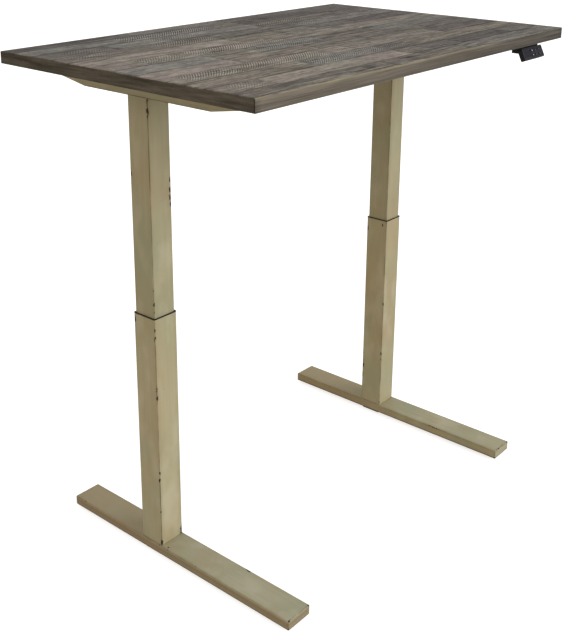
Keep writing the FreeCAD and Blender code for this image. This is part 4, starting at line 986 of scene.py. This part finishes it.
def cut_fasteners(node, body, slot, recess, thread):
    """The screws or bolts of a node with their recesses and threads, each in the place of its plain solid:
    along its longest side, the head at its wider end."""
    shapes = []
    for plain in solids(node):
        low, high = plain.min(0), plain.max(0)
        axis = int(np.argmax(high - low))
        length = high[axis] - low[axis]
        low_width, high_width = (
            np.ptp(plain[np.abs(plain[:, axis] - end) < SAME_PLACE], axis=0).max()
            for end in (low[axis], high[axis])
        )
        headed_low = low_width > high_width
        crown = (low + high) / 2
        crown[axis] = low[axis] if headed_low else high[axis]
        depths = np.abs(plain[:, axis] - crown[axis])
        thick = np.median(depths[(depths > SAME_PLACE) & (depths < length - SAME_PLACE)])
        downwards = np.eye(3)[axis] * (1 if headed_low else -1)
        sideways = np.eye(3)[axis - 1]
        turn = np.array((sideways, np.cross(downwards, sideways), downwards))
        head, shank = max(low_width, high_width) / 2, min(low_width, high_width) / 2
        points, skin, caps = fastener(recess, thread, head, thick, shank, length)
        shapes.append((points @ turn + crown, skin, caps))
    points, faces = joined(shapes)
    piece = new_piece(f"threaded_{node}", points * MM, faces, [FINISHES[slot]], body, SCREW_CREASE)
    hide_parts(node)


def face_axes():
    """The handset face's own axes: along it, up it and out of it."""
    tilt = math.radians(HANDSET_TILT)
    return np.array((
        (1, 0, 0),
        (0, math.sin(tilt), math.cos(tilt)),
        (0, -math.cos(tilt), math.sin(tilt)),
    ))


def on_key(node):
    """The turn and place that set a flat mark in the middle of a key's outer face."""
    axes = face_axes()
    corners = np.array([corner.co for corner in NODES[node].data.vertices]) @ axes.T
    low, high = corners.min(0), corners.max(0)
    spot = np.array(((low[0] + high[0]) / 2, (low[1] + high[1]) / 2, high[2])) @ axes
    turn = Matrix(axes.T.tolist()).to_4x4()
    return Matrix.Translation(Vector(spot)) @ turn


def arrow_mark(node, upwards, material):
    """A raised chevron: its outline at the key's face and again a little above it, joined round."""
    arm = ARROW_SIZE * MM / 2
    low, high = -arm / 2, arm / 2
    half = ARROW_STROKE * arm / 2
    chevron = np.array((
        (-arm, low - half), (0, high - half), (arm, low - half),
        (arm, low + half), (0, high + half), (-arm, low + half),
    )) * (1 if upwards else -1)
    count = len(chevron)
    base = np.hstack((chevron, np.zeros((count, 1))))
    points = np.concatenate((base, base + (0, 0, MARK_HEIGHT * MM)))
    halves = np.array(((0, 1, 4, 5), (1, 2, 3, 4)))
    faces = (tube_faces(2, count), halves + count, halves[:, ::-1])
    mark = new_piece(f"{node}_arrow", points, faces, [material], node)
    mark.data.transform(on_key(node))


def number_mark(node, digit, material):
    """A raised plain digit, made a mesh before it is set on its key."""
    text = bpy.data.curves.new(f"{node}_text", "FONT")
    text.body = str(digit)
    text.align_x = "CENTER"
    text.align_y = "CENTER"
    text.size = DIGIT_SIZE * MM
    text.extrude = MARK_HEIGHT * MM / 2
    shown = bpy.data.objects.new(f"{node}_text", text)
    mesh = bpy.data.meshes.new_from_object(shown)
    bpy.data.objects.remove(shown)
    mesh.transform(on_key(node) @ Matrix.Translation((0, 0, MARK_HEIGHT * MM / 2)))
    mesh.materials.clear()
    mesh.materials.append(material)
    set_piece(f"{node}_number", mesh, node)


def paint(node, material):
    """Gives a CAD node its finish."""
    slots = NODES[node].data.materials
    slots.clear()
    slots.append(material)


# The plank top
planks = [weathered_wood(), end_grain(), sawn_edge()]
for number in range(len(STAVES)):
    plank_row(number, planks)

# The painted frame, each piece with its strokes along its length, the inner columns darker as painted shade
for side in ("left", "right"):
    for piece, like, strokes, kind, level in (
        ("inner_column", "inner_column", UPRIGHT, "post", 0.92),
        ("outer_column", "outer_column", UPRIGHT, "post", 1),
        ("foot", "foot_caps", FRONT_TO_BACK, "foot", 1),
        ("foot_caps", "foot_caps", FRONT_TO_BACK, "foot", 0.88),
        ("bracket", "bracket", FRONT_TO_BACK, "sheet", 1),
    ):
        node = f"{side}_{piece}"
        paint(node, cream_paint(node, f"{side}_{like}", strokes, kind, level))
for node in ("front_crossbar", "rear_crossbar"):
    paint(node, cream_paint(node, node, SIDEWAYS, "sheet", 1))

# Everything else takes its slot's finish, and the plates under the feet their own
FINISHES = {
    "black_plastic": moulded("black_plastic", (24, 24, 26), (36, 35, 36), 0.5, Specular_IOR_Level=0.15),
    "handset_face": moulded("handset_face", (19, 18, 29), (28, 27, 39), 0.36, 3400, Specular_IOR_Level=0.1),
    "key_plastic": moulded("key_plastic", (24, 23, 33), (34, 33, 43), 0.45, 3400, Specular_IOR_Level=0.1),
    "pad_rubber": moulded("pad_rubber", (30, 28, 27), (58, 52, 46), 0.82, 1500),
    "nut_plastic": moulded("nut_plastic", (206, 200, 184), (184, 176, 158), 0.42),
    "display_glass": smoked_glass(),
    "circuit_board": circuit_board(),
    "black_metal": worked_metal("black_metal", (52, 50, 48), (70, 66, 62), 0.45, 300),
    "zinc_steel": worked_metal("zinc_steel", (176, 178, 180), (150, 150, 148), 0.34, (900, 900, 40)),
    "cast_alloy": worked_metal("cast_alloy", (140, 141, 143), (116, 116, 116), 0.5, 700),
}
for node in frame["record"]["subparts"]:
    slot = node["material_slot"]
    if slot in FINISHES:
        paint(node["node"], FINISHES[slot])
dark_enamel = moulded("dark_enamel", (20, 15, 11), (32, 25, 19), 0.6, Specular_IOR_Level=0.1)
for side in ("left", "right"):
    paint(f"{side}_clamp_plate", dark_enamel)

# The screws and bolts, the lift screws and the levelling feet
cut_fasteners("desktop_screws", "lifting_frame", "zinc_steel", cross_recess(), WOOD_THREAD)
cut_fasteners("gearbox_screws", "lifting_frame", "zinc_steel", cross_recess(), METAL_THREAD)
cut_fasteners("crossbar_bolts", "lifting_frame", "black_metal", hexagon_socket(), METAL_THREAD)
for side in ("left", "right"):
    cut_fasteners(f"{side}_foot_bolts", f"{side}_base", "black_metal", hexagon_socket(), METAL_THREAD)
    lift_screw(side)
    for end in ("front", "rear"):
        levelling_foot(f"{side}_{end}_leveller")

# The marks on the keys
bright_print = key_print("bright_key_print", (232, 232, 230), (190, 190, 190))
faint_print = key_print("faint_key_print", (188, 188, 190), (150, 150, 154))
arrow_mark("up_button", True, bright_print)
arrow_mark("down_button", False, bright_print)
for digit, word in enumerate(("one", "two", "three", "four"), 1):
    number_mark(f"preset_{word}_button", digit, faint_print)


def seen_directly(nodes):
    """A switch that is 1 for rays from the camera, mirrors and glass, and 0 for lighting."""
    path = nodes.node("LightPath", {})
    reflected = nodes.calc("MAXIMUM", path["Is Glossy Ray"], path["Is Transmission Ray"])
    return nodes.calc("MAXIMUM", path["Is Camera Ray"], reflected)


def white_floor():
    """A wide pale floor that keeps the shadow and is lifted to white where it is looked at."""
    half = FLOOR_SIZE / 2
    mesh = bpy.data.meshes.new("floor")
    corners = [(-half, -half, 0), (half, -half, 0), (half, half, 0), (-half, half, 0)]
    mesh.from_pydata(corners, [], [(0, 1, 2, 3)])
    floor = bpy.data.objects.new("floor", mesh)
    bpy.context.scene.collection.objects.link(floor)
    finish = Finish("floor_white", Base_Color=FLOOR_COLOUR, Roughness=1.0, Emission_Color=(1, 1, 1, 1))
    glow = finish.times(seen_directly(finish), FLOOR_GLOW)
    mesh.materials.append(finish.wear(Emission_Strength=glow))


def even_sky():
    """A soft sky, its colour running from the horizon to overhead, and plain white where it is seen."""
    world = bpy.data.worlds.new("sky")
    bpy.context.scene.world = world
    world.use_nodes = True
    nodes = Nodes(world.node_tree)
    sky = world.node_tree.nodes["Background"]
    seen = seen_directly(nodes)
    along, _, up = nodes.split(nodes.node("TexCoord", {})["Generated"])
    low = nodes.blend(nodes.ramp(along, 1, -1), SKY_RIGHT_COLOUR, SKY_LEFT_COLOUR)
    rising = nodes.blend(up, low, SKY_HIGH_COLOUR)
    nodes.feed(sky.inputs["Color"], nodes.blend(seen, rising, (1, 1, 1, 1)))
    nodes.feed(sky.inputs["Strength"], nodes.ramp(seen, 0, 1, SKY_LEVEL, 1))


def soft_sun():
    """One wide sun, which gives the front faces their light."""
    lamp = bpy.data.lights.new("sun", "SUN")
    lamp.energy = SUN_LEVEL
    lamp.color = SUN_COLOUR
    lamp.angle = math.radians(SUN_WIDTH)
    sun = bpy.data.objects.new("sun", lamp)
    sun.rotation_mode = "QUATERNION"
    sun.rotation_quaternion = Vector(SUN_TOWARDS).to_track_quat("Z", "Y")
    bpy.context.scene.collection.objects.link(sun)


def photo_camera():
    """The camera where the photograph was taken: turned to its azimuth and elevation, then rolled."""
    azimuth, elevation = math.radians(CAMERA_AZIMUTH), math.radians(CAMERA_ELEVATION)
    back = Vector((
        math.sin(azimuth) * math.cos(elevation),
        -math.cos(azimuth) * math.cos(elevation),
        math.sin(elevation),
    ))
    lens = bpy.data.cameras.new("camera")
    lens.lens = CAMERA_LENS
    lens.shift_y = CAMERA_SHIFT_Y
    camera = bpy.data.objects.new("camera", lens)
    level = (-back).to_track_quat("-Z", "Y").to_matrix().to_4x4()
    roll = Matrix.Rotation(math.radians(CAMERA_ROLL), 4, "Z")
    camera.matrix_world = Matrix.Translation(CAMERA_PLACE) @ level @ roll
    bpy.context.scene.collection.objects.link(camera)
    bpy.context.scene.camera = camera


white_floor()
even_sky()
soft_sun()
photo_camera()
bpy.context.scene.view_settings.view_transform = "Standard"
